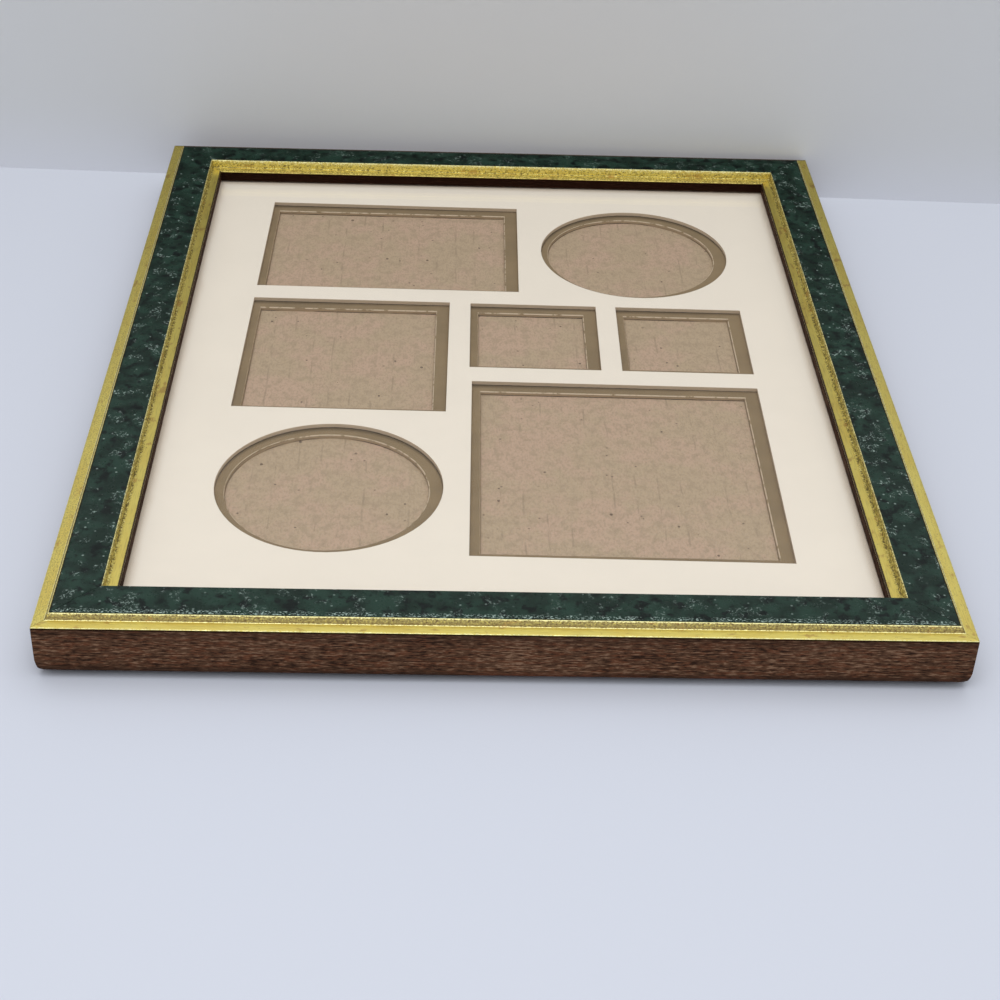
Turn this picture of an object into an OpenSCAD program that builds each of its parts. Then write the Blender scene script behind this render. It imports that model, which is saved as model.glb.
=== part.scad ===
// Collage photo frame for one sheet of glass, lying on its back with the glass up.
// X runs across the frame, Y up the frame as it hangs, Z from the back to the front.
// The origin is the middle of the base that the frame rests on.

/* [Glass] */
// Width of the glass
glass_w = 203.2; // [190:0.1:280]
// Height of the glass
glass_h = 254; // [240:0.1:340]
// Thickness of the glass
glass_t = 0.6; // [0.5:0.1:3]

/* [Moulding] */
// How far the front lip covers each edge of the glass
lip_cover = 4.7; // [4:0.1:6]
// Gap between the glass edge and the rebate wall
rebate_gap = 0.8; // [0.3:0.1:1.5]
// Thickness of the front lip over the glass
lip_t = 3.55; // [1.5:0.05:4]
// Width of the back face of each rail, outside the rebate
rail_back_w = 13.1; // [12:0.1:20]
// Width of the flat outer gilt ledge
outer_ledge_w = 3; // [2:0.1:4]
// Width of the gilt slope between the outer ledge and the marbled band
slope_w = 1.2; // [0.8:0.1:2]
// Height of that slope
slope_h = 1.3; // [0.5:0.1:2]
// Width of the flat inner gilt ledge
inner_ledge_w = 3.3; // [2.5:0.1:4]
// Height of the marbled band above the inner gilt ledge
band_rise = 2.9; // [2:0.1:5]
// Radius of the marbled band's outer shoulder
shoulder_r = 0.3; // [0.3:0.1:1.2]
// Height of the marbled band's crown
crown_h = 0.15; // [0.05:0.05:0.5]
// Radius of the worn edge around the foot of the rails
foot_r = 0.8; // [0.3:0.1:1.5]
// Thickness of the marbled and gilt facings
facing_t = 0.3; // [0.2:0.05:0.6]

/* [Mats] */
// Thickness of the top mat
top_mat_t = 1.3; // [0.8:0.1:2.4]
// Thickness of the under mat
under_mat_t = 1.2; // [0.8:0.1:2.4]
// Angle by which the top mat sits turned in the rebate
top_mat_turn = 0.8; // [0:0.1:1]
// Angle by which the under mat sits turned in the rebate
under_mat_turn = 0.6; // [0:0.1:1]
// Width of the under mat that shows around each opening
reveal = 3.4; // [2.5:0.1:4.5]
// Sideways shift of the under mat
under_shift_x = -0.75; // [-0.9:0.05:0.9]
// Shift of the under mat up the frame
under_shift_y = -0.45; // [-0.9:0.05:0.9]

/* [Openings in the mats] */
// Mat left and right of the openings, from the lip's edge
side_margin = 18.8; // [14:0.1:24]
// Mat above the openings
top_margin = 16.5; // [12:0.1:20]
// Mat below the openings
bottom_margin = 20.8; // [16:0.1:26]
// Mat between one row of openings and the next
row_gap = 8.3; // [6:0.1:10]
// Mat between the upper round opening and the small openings below it
round_gap = 6.7; // [6:0.1:10]
// Mat between the landscape opening and the round opening beside it
upper_gap = 7.9; // [6:0.1:10]
// Mat between the upright opening and the small openings beside it
middle_gap = 6.7; // [6:0.1:10]
// Mat between the lower round opening and the large opening beside it
lower_gap = 7.4; // [6:0.1:10]
// Mat between the two small openings
small_gap = 6.4; // [5:0.1:8]
// Height of the landscape opening
landscape_h = 61.5; // [54:0.1:66]
// Side of the two small square openings
small_side = 40.2; // [34:0.1:44]
// Radius of the two round openings
round_r = 31.4; // [27:0.1:34]
// How far the upper round opening stands in from the corner of the layout
round_inset = 0.5; // [0:0.1:1]

/* [Backing] */
// Thickness of the corrugated board
board_t = 3; // [2.5:0.1:4]
// Thickness of each flat liner of the board
liner_t = 0.35; // [0.25:0.05:0.5]
// Thickness of the fluted sheet between the liners
flute_t = 0.3; // [0.2:0.05:0.4]
// Distance from one flute to the next
flute_pitch = 6.3; // [5:0.1:8]
// Thickness of the hardboard back panel
panel_t = 2.4; // [2:0.1:3.5]
// How far the back panel sits in from the back of the rails
panel_in = 0.15; // [0.1:0.05:0.5]

/* [Turn buttons] */
// Length of a turn button
button_l = 22; // [18:0.5:26]
// Width of a turn button
button_w = 9; // [7:0.5:11]
// Thickness of a turn button
button_t = 0.8; // [0.6:0.1:1.2]
// Height of the turn buttons above and below the middle of the side rails
button_y = 70; // [50:1:100]
// Distance from the frame's outer edge to a button's screw
screw_in = 6.4; // [5.5:0.1:7.5]
// Radius of a button screw's shank
screw_r = 1.5; // [1.2:0.1:1.8]
// Radius of a button screw's head
screw_head_r = 2.8; // [2.5:0.1:3.4]
// Height of a button screw's head
screw_head_h = 1.3; // [1:0.1:1.8]
// Depth to which a button screw goes into the rail
screw_depth = 9; // [6:0.5:10]
// Width of the slot in a screw head
screw_slot_w = 0.8; // [0.6:0.1:1.1]
// Depth of the slot in a screw head
screw_slot_h = 0.6; // [0.4:0.1:0.8]
// Running clearance of a button around its screw
pivot_play = 0.08; // [0.04:0.01:0.1]
// Clearance above and below a button
button_play = 0.1; // [0.05:0.05:0.3]

/* [Hanger] */
// Length of the sawtooth hanger
hanger_l = 45; // [38:1:60]
// Width of the sawtooth hanger
hanger_w = 8; // [6:0.5:10]
// Thickness of the hanger's strip
hanger_t = 0.6; // [0.4:0.1:0.8]
// Height by which the hanger's middle stands off the rail
hanger_rise = 1.4; // [0.5:0.1:1.4]
// Length of each flat end of the hanger
hanger_tab_l = 7; // [6:0.5:9]
// Number of teeth along the hanger
hanger_teeth = 9; // [5:1:13]
// Depth of a tooth
tooth_h = 1.6; // [1:0.1:2.5]
// Radius of a hanger nail's shank
nail_r = 0.6; // [0.5:0.1:0.9]
// Radius of a hanger nail's head
nail_head_r = 1.5; // [1.2:0.1:2]
// Height of a hanger nail's head
nail_head_h = 0.5; // [0.4:0.1:0.8]
// Depth to which a hanger nail goes into the rail
nail_depth = 8; // [5:0.5:10]

/* [Corner nails] */
// Reach of each leg of a corner nail
vee_leg = 2.4; // [2:0.1:3]
// Thickness of a corner nail's strip
vee_t = 0.5; // [0.4:0.1:0.8]
// Depth to which a corner nail goes into the mitre
vee_depth = 7; // [5:0.5:9]
// Distance along the mitre from the outer corner to the first nail
vee_first = 7.6; // [7:0.1:9]
// Distance along the mitre between a corner's two nails
vee_step = 6.6; // [5:0.1:7]

/* [Hidden] */
$fn = 48;
// Slack around a shank that is driven into wood
seat_gap = 0.05;
// Overrun that carries a cut clear past a surface
over = 1;
// Straight steps in each rounded stretch of the moulding
round_steps = 6;
// Straight steps in one flute
flute_steps = 8;
// Length of a screw's or nail's point, in shank radii
point_ratio = 1.6;

// The parts between the lip and the turn buttons fill the rebate
stack_t = glass_t + top_mat_t + under_mat_t + board_t + panel_t;
rebate_d = stack_t + panel_in;
rebate_w = lip_cover + rebate_gap;
mould_w = rail_back_w + rebate_w;
sight_w = glass_w - 2 * lip_cover;
sight_h = glass_h - 2 * lip_cover;
frame_w = sight_w + 2 * mould_w;
frame_h = sight_h + 2 * mould_w;

// Heights above the back face of the rails
ledge_z = rebate_d + lip_t;
band_z = ledge_z + band_rise;
slope_z = band_z - shoulder_r;
side_z = slope_z - slope_h;

// Places across a rail, from its outer edge
band_x = outer_ledge_w + slope_w;
step_x = mould_w - inner_ledge_w;

// Heights above the base that the frame rests on: the heads of the button screws
back_z = screw_head_h + button_t + 2 * button_play;
button_z = screw_head_h + button_play;
panel_z = back_z + panel_in;
board_z = panel_z + panel_t;
under_mat_z = board_z + board_t;
top_mat_z = under_mat_z + under_mat_t;
glass_z = top_mat_z + top_mat_t;
screw_x = frame_w / 2 - screw_in;
hanger_y = frame_h / 2 - rail_back_w / 2;
hanger_nail_x = (hanger_l - hanger_tab_l) / 2;

// A board turned in the rebate is cut down until its corners stay behind the glass
function turned_w(turn) =
    (glass_w * cos(turn) - glass_h * sin(turn)) / cos(2 * turn);
function turned_h(turn) =
    (glass_h * cos(turn) - glass_w * sin(turn)) / cos(2 * turn);

// Edges of the layout of openings, about the middle of the mat
lay_left = side_margin - sight_w / 2;
lay_right = sight_w / 2 - side_margin;
lay_top = sight_h / 2 - top_margin;
lay_bottom = bottom_margin - sight_h / 2;

// The other openings fill what the round and the small ones leave
landscape_w = lay_right - lay_left - 2 * round_r - round_inset - upper_gap;
upright_w = lay_right - lay_left - 2 * small_side - small_gap - middle_gap;
large_w = lay_right - lay_left - 2 * round_r - lower_gap;
upright_bottom = lay_bottom + 2 * round_r + row_gap;
upright_h = lay_top - landscape_h - row_gap - upright_bottom;
small_bottom = lay_top - round_inset - 2 * round_r - round_gap - small_side;
large_h = small_bottom - row_gap - lay_bottom;

// Rectangular openings, each [left, bottom, width, height]
RECT_OPENINGS = [
    [lay_left, lay_top - landscape_h, landscape_w, landscape_h],
    [lay_left, upright_bottom, upright_w, upright_h],
    [lay_right - 2 * small_side - small_gap, small_bottom, small_side, small_side],
    [lay_right - small_side, small_bottom, small_side, small_side],
    [lay_right - large_w, lay_bottom, large_w, large_h],
];
// Round openings, each [middle x, middle y]
ROUND_OPENINGS = [
    [lay_right - round_r - round_inset, lay_top - round_r - round_inset],
    [lay_left + round_r, lay_bottom + round_r],
];

wood_brown = "#4b3328";
marble_green = "#22382f";
gilt = "#c9b24e";
mat_cream = "#e6decf";
mat_olive = "#7d6e55";
kraft = "#ab967d";
hardboard = "#6b4a30";
zinc = "#b9b7b0";
steel = "#8d8f92";

// Points of an arc about (x, y) from angle from to angle to
function arc(x, y, r, from, to, steps) =
    [for (i = [0:steps]) let (a = from + (to - from) * i / steps)
        [x + r * cos(a), y + r * sin(a)]];

// Top of the marbled band from its shoulder to the inner step, lowered by drop
function band_top(drop) =
    let (x0 = band_x + shoulder_r, x1 = step_x - facing_t)
    [for (i = [0:round_steps]) let (s = i / round_steps)
        [x0 + (x1 - x0) * s, band_z + 4 * crown_h * s * (1 - s) - drop]];

// Outer shoulder of the marbled band, from the gilt slope up, lowered by drop
function shoulder(drop) =
    arc(band_x + shoulder_r, slope_z - drop, shoulder_r, 180, 90, round_steps);

function reversed(points) = [for (i = [len(points) - 1:-1:0]) points[i]];

// Sections of the moulding: x inward from its outer edge, y up from its back
function core_section() = concat(
    arc(foot_r, foot_r, foot_r, 270, 180, round_steps),
    [[0, side_z - facing_t], [outer_ledge_w, side_z - facing_t]],
    shoulder(facing_t),
    band_top(facing_t),
    [
        [step_x - facing_t, ledge_z - facing_t],
        [mould_w, ledge_z - facing_t],
        [mould_w, rebate_d],
        [rail_back_w, rebate_d],
        [rail_back_w, 0],
    ]);

function marble_section() = concat(
    shoulder(0), band_top(0), reversed(band_top(facing_t)), reversed(shoulder(facing_t)));

function outer_gilt_section() = [
    [0, side_z - facing_t],
    [0, side_z],
    [outer_ledge_w, side_z],
    [band_x, slope_z],
    [band_x, slope_z - facing_t],
    [outer_ledge_w, side_z - facing_t],
];

function inner_gilt_section() = [
    [step_x - facing_t, ledge_z - facing_t],
    [step_x - facing_t, band_z],
    [step_x, band_z - facing_t],
    [step_x, ledge_z],
    [mould_w, ledge_z],
    [mould_w, ledge_z - facing_t],
];

// One mitred stick of a section, its outer edge on the Y axis and its back at z 0
module stick(section, length) {
    half = length / 2;
    intersection() {
        rotate([90, 0, 0])
            linear_extrude(height = length, center = true)
                polygon(section);
        translate([0, 0, -over])
            linear_extrude(height = band_z + crown_h + 2 * over)
                polygon([
                    [-over, -half - over],
                    [-over, half + over],
                    [mould_w + over, half - mould_w - over],
                    [mould_w + over, over + mould_w - half],
                ]);
    }
}

module left_stick(section) {
    translate([-frame_w / 2, 0, back_z])
        stick(section, frame_h);
}

module bottom_stick(section) {
    translate([0, -frame_h / 2, back_z])
        rotate([0, 0, 90])
            stick(section, frame_w);
}

module right_stick(section) {
    mirror([1, 0, 0])
        left_stick(section);
}

module top_stick(section) {
    mirror([0, 1, 0])
        bottom_stick(section);
}

// Places of the four turn buttons and their screws: side is -1 or 1, up is -1 or 1
module at_button(side, up) {
    translate([side * screw_x, up * button_y, 0])
        children();
}

module at_every_button() {
    for (side = [-1, 1], up = [-1, 1])
        at_button(side, up)
            children();
}

module at_hanger_nails() {
    for (side = [-1, 1])
        translate([side * hanger_nail_x, hanger_y, 0])
            children();
}

// A driven shank from height z0 up to height z1, ending in a point
module shank(r, z0, z1) {
    point = point_ratio * r;
    translate([0, 0, z0])
        cylinder(r = r, h = z1 - point - z0);
    translate([0, 0, z1 - point])
        cylinder(r1 = r, r2 = 0, h = point);
}

// Hole that a shank is driven into, open at the back of the rail
module shank_hole(r, depth) {
    translate([0, 0, back_z - over])
        cylinder(r = r + seat_gap, h = depth + seat_gap + over);
}

// Two corner nails on one mitre, apexes towards the middle of the frame
module corner_vees(grow) {
    slant = vee_t * sqrt(2);
    for (i = [0:1])
        translate([vee_first + i * vee_step, 0, 0])
            translate([0, 0, back_z - grow])
                linear_extrude(height = vee_depth + grow)
                    polygon([
                        [0, 0],
                        [-vee_leg, vee_leg],
                        [-vee_leg - slant, vee_leg],
                        [-slant, 0],
                        [-vee_leg - slant, -vee_leg],
                        [-vee_leg, -vee_leg],
                    ]);
}

// The corner nails of all four mitres, their backs lengthened by grow for a cut
module every_vee(grow) {
    for (side = [0, 1], up = [0, 1])
        mirror([side, 0, 0])
            mirror([0, up, 0])
                translate([-frame_w / 2, -frame_h / 2, 0])
                    rotate([0, 0, 45])
                        corner_vees(grow);
}

// A rail without the holes that its fasteners fill
module drilled() {
    difference() {
        children();
        every_vee(over);
        at_every_button()
            shank_hole(screw_r, screw_depth);
        at_hanger_nails()
            shank_hole(nail_r, nail_depth);
    }
}

module rail_top() {
    color(wood_brown)
        drilled()
            top_stick(core_section());
}

module rail_bottom() {
    color(wood_brown)
        drilled()
            bottom_stick(core_section());
}

module rail_left() {
    color(wood_brown)
        drilled()
            left_stick(core_section());
}

module rail_right() {
    color(wood_brown)
        drilled()
            right_stick(core_section());
}

module marble_top() {
    color(marble_green)
        top_stick(marble_section());
}

module marble_bottom() {
    color(marble_green)
        bottom_stick(marble_section());
}

module marble_left() {
    color(marble_green)
        left_stick(marble_section());
}

module marble_right() {
    color(marble_green)
        right_stick(marble_section());
}

module outer_gilt_top() {
    color(gilt)
        top_stick(outer_gilt_section());
}

module outer_gilt_bottom() {
    color(gilt)
        bottom_stick(outer_gilt_section());
}

module outer_gilt_left() {
    color(gilt)
        left_stick(outer_gilt_section());
}

module outer_gilt_right() {
    color(gilt)
        right_stick(outer_gilt_section());
}

module inner_gilt_top() {
    color(gilt)
        top_stick(inner_gilt_section());
}

module inner_gilt_bottom() {
    color(gilt)
        bottom_stick(inner_gilt_section());
}

module inner_gilt_left() {
    color(gilt)
        left_stick(inner_gilt_section());
}

module inner_gilt_right() {
    color(gilt)
        right_stick(inner_gilt_section());
}

// A flat sheet centred on the frame
module sheet(width, height, thickness, z) {
    translate([-width / 2, -height / 2, z])
        cube([width, height, thickness]);
}

module glass() {
    color("lightblue", 0.3)
        sheet(glass_w, glass_h, glass_t, glass_z);
}

// The seven openings as a flat outline, each drawn in by inset on every side
module openings(inset) {
    for (o = RECT_OPENINGS)
        translate([o[0] + inset, o[1] + inset])
            square([o[2] - 2 * inset, o[3] - 2 * inset]);
    for (o = ROUND_OPENINGS)
        translate(o)
            circle(r = round_r - inset, $fn = 96);
}

module top_mat() {
    color(mat_cream)
        translate([0, 0, top_mat_z])
            rotate([0, 0, -top_mat_turn])
                linear_extrude(height = top_mat_t)
                    difference() {
                        square([turned_w(top_mat_turn), turned_h(top_mat_turn)], center = true);
                        openings(0);
                    }
}

module under_mat() {
    color(mat_olive)
        translate([0, 0, under_mat_z])
            rotate([0, 0, -under_mat_turn])
                linear_extrude(height = under_mat_t)
                    difference() {
                        square([turned_w(under_mat_turn), turned_h(under_mat_turn)], center = true);
                        translate([under_shift_x, under_shift_y])
                            openings(reveal);
                    }
}

module front_liner() {
    color(kraft)
        sheet(glass_w, glass_h, liner_t, board_z + board_t - liner_t);
}

// Fluted sheet of the board: its crests meet the two liners and run up the frame
module fluting() {
    swing = (board_t - 2 * liner_t - flute_t) / 2;
    step = flute_pitch / flute_steps;
    half_steps = floor(glass_w / 2 / step);
    wave = [for (i = [-half_steps:half_steps])
        [i * step, swing * sin(360 * i / flute_steps)]];
    color(kraft)
        translate([0, 0, board_z + board_t / 2])
            rotate([90, 0, 0])
                linear_extrude(height = glass_h, center = true)
                    polygon(concat(
                        [for (p = wave) p + [0, flute_t / 2]],
                        [for (p = reversed(wave)) p - [0, flute_t / 2]]));
}

module rear_liner() {
    color(kraft)
        sheet(glass_w, glass_h, liner_t, board_z);
}

module back_panel() {
    color(hardboard)
        sheet(glass_w, glass_h, panel_t, panel_z);
}

// A turn button, its screw hole at the origin and its tip along +X
module turn_button() {
    end_r = button_w / 2;
    translate([0, 0, button_z])
        linear_extrude(height = button_t)
            difference() {
                union() {
                    circle(r = end_r);
                    translate([0, -end_r])
                        square([button_l - button_w, button_w]);
                    translate([button_l - button_w, 0])
                        circle(r = end_r);
                }
                circle(r = screw_r + pivot_play);
            }
}

module button_left_upper() {
    color(zinc)
        at_button(-1, 1)
            turn_button();
}

module button_left_lower() {
    color(zinc)
        at_button(-1, -1)
            turn_button();
}

module button_right_upper() {
    color(zinc)
        at_button(1, 1)
            rotate([0, 0, 180])
                turn_button();
}

module button_right_lower() {
    color(zinc)
        at_button(1, -1)
            rotate([0, 0, 180])
                turn_button();
}

// A button screw, its head down on the base and its point up in the rail
module button_screw() {
    difference() {
        union() {
            cylinder(r = screw_head_r, h = screw_head_h);
            shank(screw_r, screw_head_h, back_z + screw_depth);
        }
        translate([-screw_head_r - over, -screw_slot_w / 2, -over])
            cube([2 * (screw_head_r + over), screw_slot_w, screw_slot_h + over]);
    }
}

module button_screws() {
    color(steel)
        at_every_button()
            button_screw();
}

module corner_nails() {
    color(steel)
        every_vee(0);
}

// Sawtooth hanger: flat ends on the rail, and a raised middle with teeth below
module hanger() {
    half = hanger_l / 2;
    bridge = half - hanger_tab_l;
    bend = bridge - hanger_rise;
    pitch = 2 * bend / hanger_teeth;
    color(zinc)
        difference() {
            translate([0, hanger_y, back_z])
                rotate([90, 0, 0])
                    linear_extrude(height = hanger_w, center = true)
                        polygon([
                            [-half, 0],
                            [-bridge, 0],
                            [-bend, -hanger_rise],
                            [bend, -hanger_rise],
                            [bridge, 0],
                            [half, 0],
                            [half, -hanger_t],
                            [bridge, -hanger_t],
                            [bend, -hanger_rise - hanger_t],
                            [-bend, -hanger_rise - hanger_t],
                            [-bridge, -hanger_t],
                            [-half, -hanger_t],
                        ]);
            for (i = [0:hanger_teeth - 1])
                translate([(i - (hanger_teeth - 1) / 2) * pitch, hanger_y - hanger_w / 2, 0])
                    linear_extrude(height = back_z)
                        polygon([[-pitch / 2, -over], [-pitch / 2, 0], [0, tooth_h], [pitch / 2, 0], [pitch / 2, -over]]);
            at_hanger_nails()
                cylinder(r = nail_r + seat_gap, h = back_z + over);
        }
}

module hanger_nails() {
    color(steel)
        at_hanger_nails() {
            translate([0, 0, back_z - hanger_t - nail_head_h])
                cylinder(r = nail_head_r, h = nail_head_h);
            shank(nail_r, back_z - hanger_t, back_z + nail_depth);
        }
}

rail_top();
rail_bottom();
rail_left();
rail_right();
marble_top();
marble_bottom();
marble_left();
marble_right();
outer_gilt_top();
outer_gilt_bottom();
outer_gilt_left();
outer_gilt_right();
inner_gilt_top();
inner_gilt_bottom();
inner_gilt_left();
inner_gilt_right();
glass();
top_mat();
under_mat();
front_liner();
fluting();
rear_liner();
back_panel();
button_left_upper();
button_left_lower();
button_right_upper();
button_right_lower();
button_screws();
corner_nails();
hanger();
hanger_nails();
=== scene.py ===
import math

import bmesh
import bpy
from bpy.props import FloatProperty, FloatVectorProperty, IntProperty, PointerProperty
from mathutils import Matrix, Vector


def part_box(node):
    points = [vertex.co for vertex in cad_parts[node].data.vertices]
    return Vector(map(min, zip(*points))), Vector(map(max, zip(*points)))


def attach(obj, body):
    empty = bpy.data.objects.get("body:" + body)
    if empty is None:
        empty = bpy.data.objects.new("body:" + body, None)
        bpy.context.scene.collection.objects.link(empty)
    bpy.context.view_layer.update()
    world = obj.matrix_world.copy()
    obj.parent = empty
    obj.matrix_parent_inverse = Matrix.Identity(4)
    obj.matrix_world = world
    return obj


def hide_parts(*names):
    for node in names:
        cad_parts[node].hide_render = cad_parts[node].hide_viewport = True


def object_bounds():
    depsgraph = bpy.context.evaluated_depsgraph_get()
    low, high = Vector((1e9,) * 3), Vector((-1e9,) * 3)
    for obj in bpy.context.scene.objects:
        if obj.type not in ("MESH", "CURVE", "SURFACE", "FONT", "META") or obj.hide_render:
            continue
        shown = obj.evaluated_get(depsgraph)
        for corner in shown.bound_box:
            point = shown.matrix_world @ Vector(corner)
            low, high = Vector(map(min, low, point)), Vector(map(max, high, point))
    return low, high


bl_info = {
    "name": "Collage photo frame",
    "version": (1, 0, 0),
    "blender": (4, 5, 0),
    "location": "3D View > Sidebar > Photo frame",
    "description": "Dresses a mitred photo frame with marbled and gilt moulding, mats and hardware",
    "category": "Object",
}

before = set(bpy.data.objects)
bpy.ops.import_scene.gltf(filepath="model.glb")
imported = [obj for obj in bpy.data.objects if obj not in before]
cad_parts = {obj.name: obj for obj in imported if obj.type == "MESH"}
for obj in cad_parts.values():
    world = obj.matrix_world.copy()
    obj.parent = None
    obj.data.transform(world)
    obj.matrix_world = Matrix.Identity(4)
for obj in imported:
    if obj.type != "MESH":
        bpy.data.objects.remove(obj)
CAD_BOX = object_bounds()

MM = 0.001
SAME_PLACE = 0.002 * MM
SIDES = ("left", "bottom", "right", "top")
BUTTONS = ("button_left_upper", "button_left_lower", "button_right_upper", "button_right_lower")


# Sizes and colours


def number(name, default, description, **more):
    return FloatProperty(name=name, description=description, default=default, **more)


def length(name, default, description):
    return number(name, default, description, unit="LENGTH", precision=5)


def colour(name, default, description):
    return FloatVectorProperty(
        name=name, description=description, default=default, subtype="COLOR", size=3, min=0.0, max=1.0
    )


class MouldingSizes(bpy.types.PropertyGroup):
    """Section of the rails. Lengths run inwards from the outer edge or up from the back."""

    outer_ledge_w: length("Outer ledge", 3.0 * MM, "Width of the flat outer gilt ledge")
    slope_h: length("Slope height", 1.3 * MM, "Height of the gilt slope below the marbled band")
    inner_ledge_w: length("Inner ledge", 3.3 * MM, "Width of the flat inner gilt ledge")
    rail_back_w: length("Rail back", 13.1 * MM, "Width of a rail's back face")
    facing_t: length("Facing", 0.3 * MM, "Thickness of the marbled and gilt facings")
    shoulder_w: length("Shoulder", 3.2 * MM, "Width of the marbled band's domed outer shoulder")
    foil_edge: length("Foil edge", 0.14 * MM, "Height of the marbled foil's outer edge")
    ridge_h: length("Ridge", 0.28 * MM, "How far the gilt ridge stands above the marbled band's edge")
    groove_w: length("Groove", 0.34 * MM, "Width of the dark groove between the ridge and the band")
    foot_r: length("Foot radius", 0.8 * MM, "Radius along the foot of the rails")
    crease_r: length("Crease", 0.12 * MM, "Width of the softened edges of the facings")
    grit_depth: length("Gilt grit", 0.16 * MM, "Depth of the roughened gilt steps")
    edge_wander: length("Edge wander", 0.10 * MM, "How far the edges of the facings wander")
    corner_wear: length("Corner wear", 0.7 * MM, "How far the outer foot is worn back at each corner")
    corner_reach: length("Corner reach", 3.0 * MM, "How far that wear reaches along the rail")
    corner_height: length("Corner height", 4.0 * MM, "How far that wear reaches up the rail")
    mitre_gap: length("Mitre gap", 0.07 * MM, "Gap at each side of a mitre")
    back_hollow: length("Back hollow", 0.05 * MM, "How far the backs lie behind the corner nails")


class SheetSizes(bpy.types.PropertyGroup):
    """Softened edges and cut edges of the flat sheets."""

    glass_edge: length("Glass edge", 0.15 * MM, "Ground edge of the glass")
    top_mat_edge: length("Top mat edge", 0.06 * MM, "Softened cut edge of the top mat")
    under_mat_edge: length("Under mat edge", 0.28 * MM, "Pale cut edge of the under mat")
    board_edge: length("Board edge", 0.05 * MM, "Softened edge of the board's liners")
    panel_edge: length("Panel edge", 0.3 * MM, "Rounded edge of the back panel")
    flute_pitch: length("Flute pitch", 6.3 * MM, "Distance from one flute of the board to the next")


class HardwareSizes(bpy.types.PropertyGroup):
    """Fasteners and fittings on the back."""

    button_edge: length("Button edge", 0.2 * MM, "Rolled edge of the turn buttons")
    hanger_edge: length("Hanger edge", 0.1 * MM, "Stamped edge of the hanger")
    screw_slot_w: length("Screw slot", 0.8 * MM, "Width of a screw's slot")
    screw_slot_h: length("Screw slot depth", 0.6 * MM, "Depth of a screw's slot")
    head_round: length("Head rounding", 0.5 * MM, "Rounding of the screw heads")
    screw_seed: IntProperty(name="Screw seed", description="Seed of the way each slot points", default=3)


class FrameColours(bpy.types.PropertyGroup):
    """Colours of the finishes, linear."""

    wood: colour("Wood wrap", (0.094, 0.0465, 0.0262), "Printed brown wood")
    # Wood pores is also the colour of the painted shade low on the foot and on the lip's face
    wood_dark: colour("Wood pores", (0.029, 0.0142, 0.0088), "Pores of the printed wood")
    wood_pale: colour("Wood flecks", (0.245, 0.143, 0.087), "Pale dashes of the printed wood")
    wood_rubbed: colour("Rubbed wood", (0.16, 0.050, 0.025), "Red ground where the foot is rubbed")
    green: colour("Green", (0.0075, 0.020, 0.0130), "Ground of the marbled foil")
    green_pale: colour("Green clouds", (0.016, 0.041, 0.028), "Lighter clouds of the marbled foil")
    green_deep: colour("Green shadows", (0.002, 0.0055, 0.0040), "Darker clouds of the marbled foil")
    # Flecks, brightened, also paints the glints over the near rail's shoulder
    fleck: colour("Flecks", (0.31, 0.40, 0.36), "Pale squiggles of the marbled foil")
    gilt: colour("Gilt", (0.78, 0.65, 0.16), "Gilt foil")
    gilt_orange: colour("Warm gilt", (0.74, 0.58, 0.13), "Warmer patches of the gilt")
    # Bright gilt is also the painted highlight along the creases
    gilt_bright: colour("Bright gilt", (0.95, 0.88, 0.42), "Gilt along the creases")
    gilt_tan: colour("Tan gilt", (0.42, 0.34, 0.12), "Dull gilt of the steps")
    gilt_amber: colour("Amber gilt", (0.46, 0.27, 0.07), "Amber patches where the gilt is thin")
    gilt_dull: colour("Dull gilt", (0.24, 0.175, 0.055), "Darker crumbs of the steps")
    # Bare gilt, darkened, is also the painted shade in the groove and along dark edges
    gilt_bare: colour("Bare gilt", (0.10, 0.045, 0.015), "Primer where the gilt is rubbed off")
    mat: colour("Top mat", (0.87, 0.793, 0.68), "Cream paper of the top mat")
    mat_core: colour("Top mat core", (0.60, 0.475, 0.34), "Cut edge of the top mat")
    under: colour("Under mat", (0.27, 0.195, 0.108), "Olive paper of the under mat")
    under_edge: colour("Under mat edge", (0.60, 0.485, 0.35), "Pale line on the under mat's cut edge")
    under_core: colour("Under mat core", (0.38, 0.285, 0.18), "Cut edge of the under mat")
    kraft: colour("Kraft", (0.472, 0.360, 0.241), "Brown liner of the board")
    kraft_pink: colour("Kraft pink", (0.515, 0.365, 0.262), "Warm blotches of the liner")
    kraft_speck: colour("Kraft specks", (0.10, 0.065, 0.045), "Dark specks of the liner")
    panel: colour("Hardboard", (0.16, 0.085, 0.045), "Hardboard of the back panel")
    zinc: colour("Zinc", (0.62, 0.62, 0.60), "Zinc plated strip")
    steel: colour("Steel", (0.38, 0.38, 0.39), "Plain steel of the fasteners")
    floor: colour("Floor", (0.665, 0.697, 0.788), "Table under the frame")
    wall: colour("Backdrop", (0.66, 0.668, 0.68), "Backdrop behind the table")
    wall_foot: colour("Backdrop foot", (0.706, 0.724, 0.794), "Foot of the backdrop, lit by the table")


class CameraSizes(bpy.types.PropertyGroup):
    """The stage, and the camera about the middle of the frame's back."""

    backdrop: length("Backdrop", 146.8 * MM, "Distance of the backdrop behind the middle of the frame")
    backdrop_turn: number("Backdrop turn", 0.033, "Run of the backdrop over its width")
    room_light: number("Room light", 0.48, "Strength of the even light")
    room_seen: number("Room seen", 0.75, "Strength of the room in the gloss")

    focal_px: number("Focal length", 1.88246, "Focal length in picture widths")
    pitch: number("Pitch", math.radians(34.4995), "Angle below the horizon", subtype="ANGLE")
    yaw: number("Yaw", math.radians(2.3460), "Angle from straight up the frame", subtype="ANGLE")
    roll: number("Roll", math.radians(2.2965), "Tilt of the picture", subtype="ANGLE")
    place: FloatVectorProperty(
        name="Place",
        description="Place from the middle of the rails' back",
        default=(-18.12 * MM, -498.65 * MM, 299.15 * MM),
        subtype="TRANSLATION",
    )


# Node helpers


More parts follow.
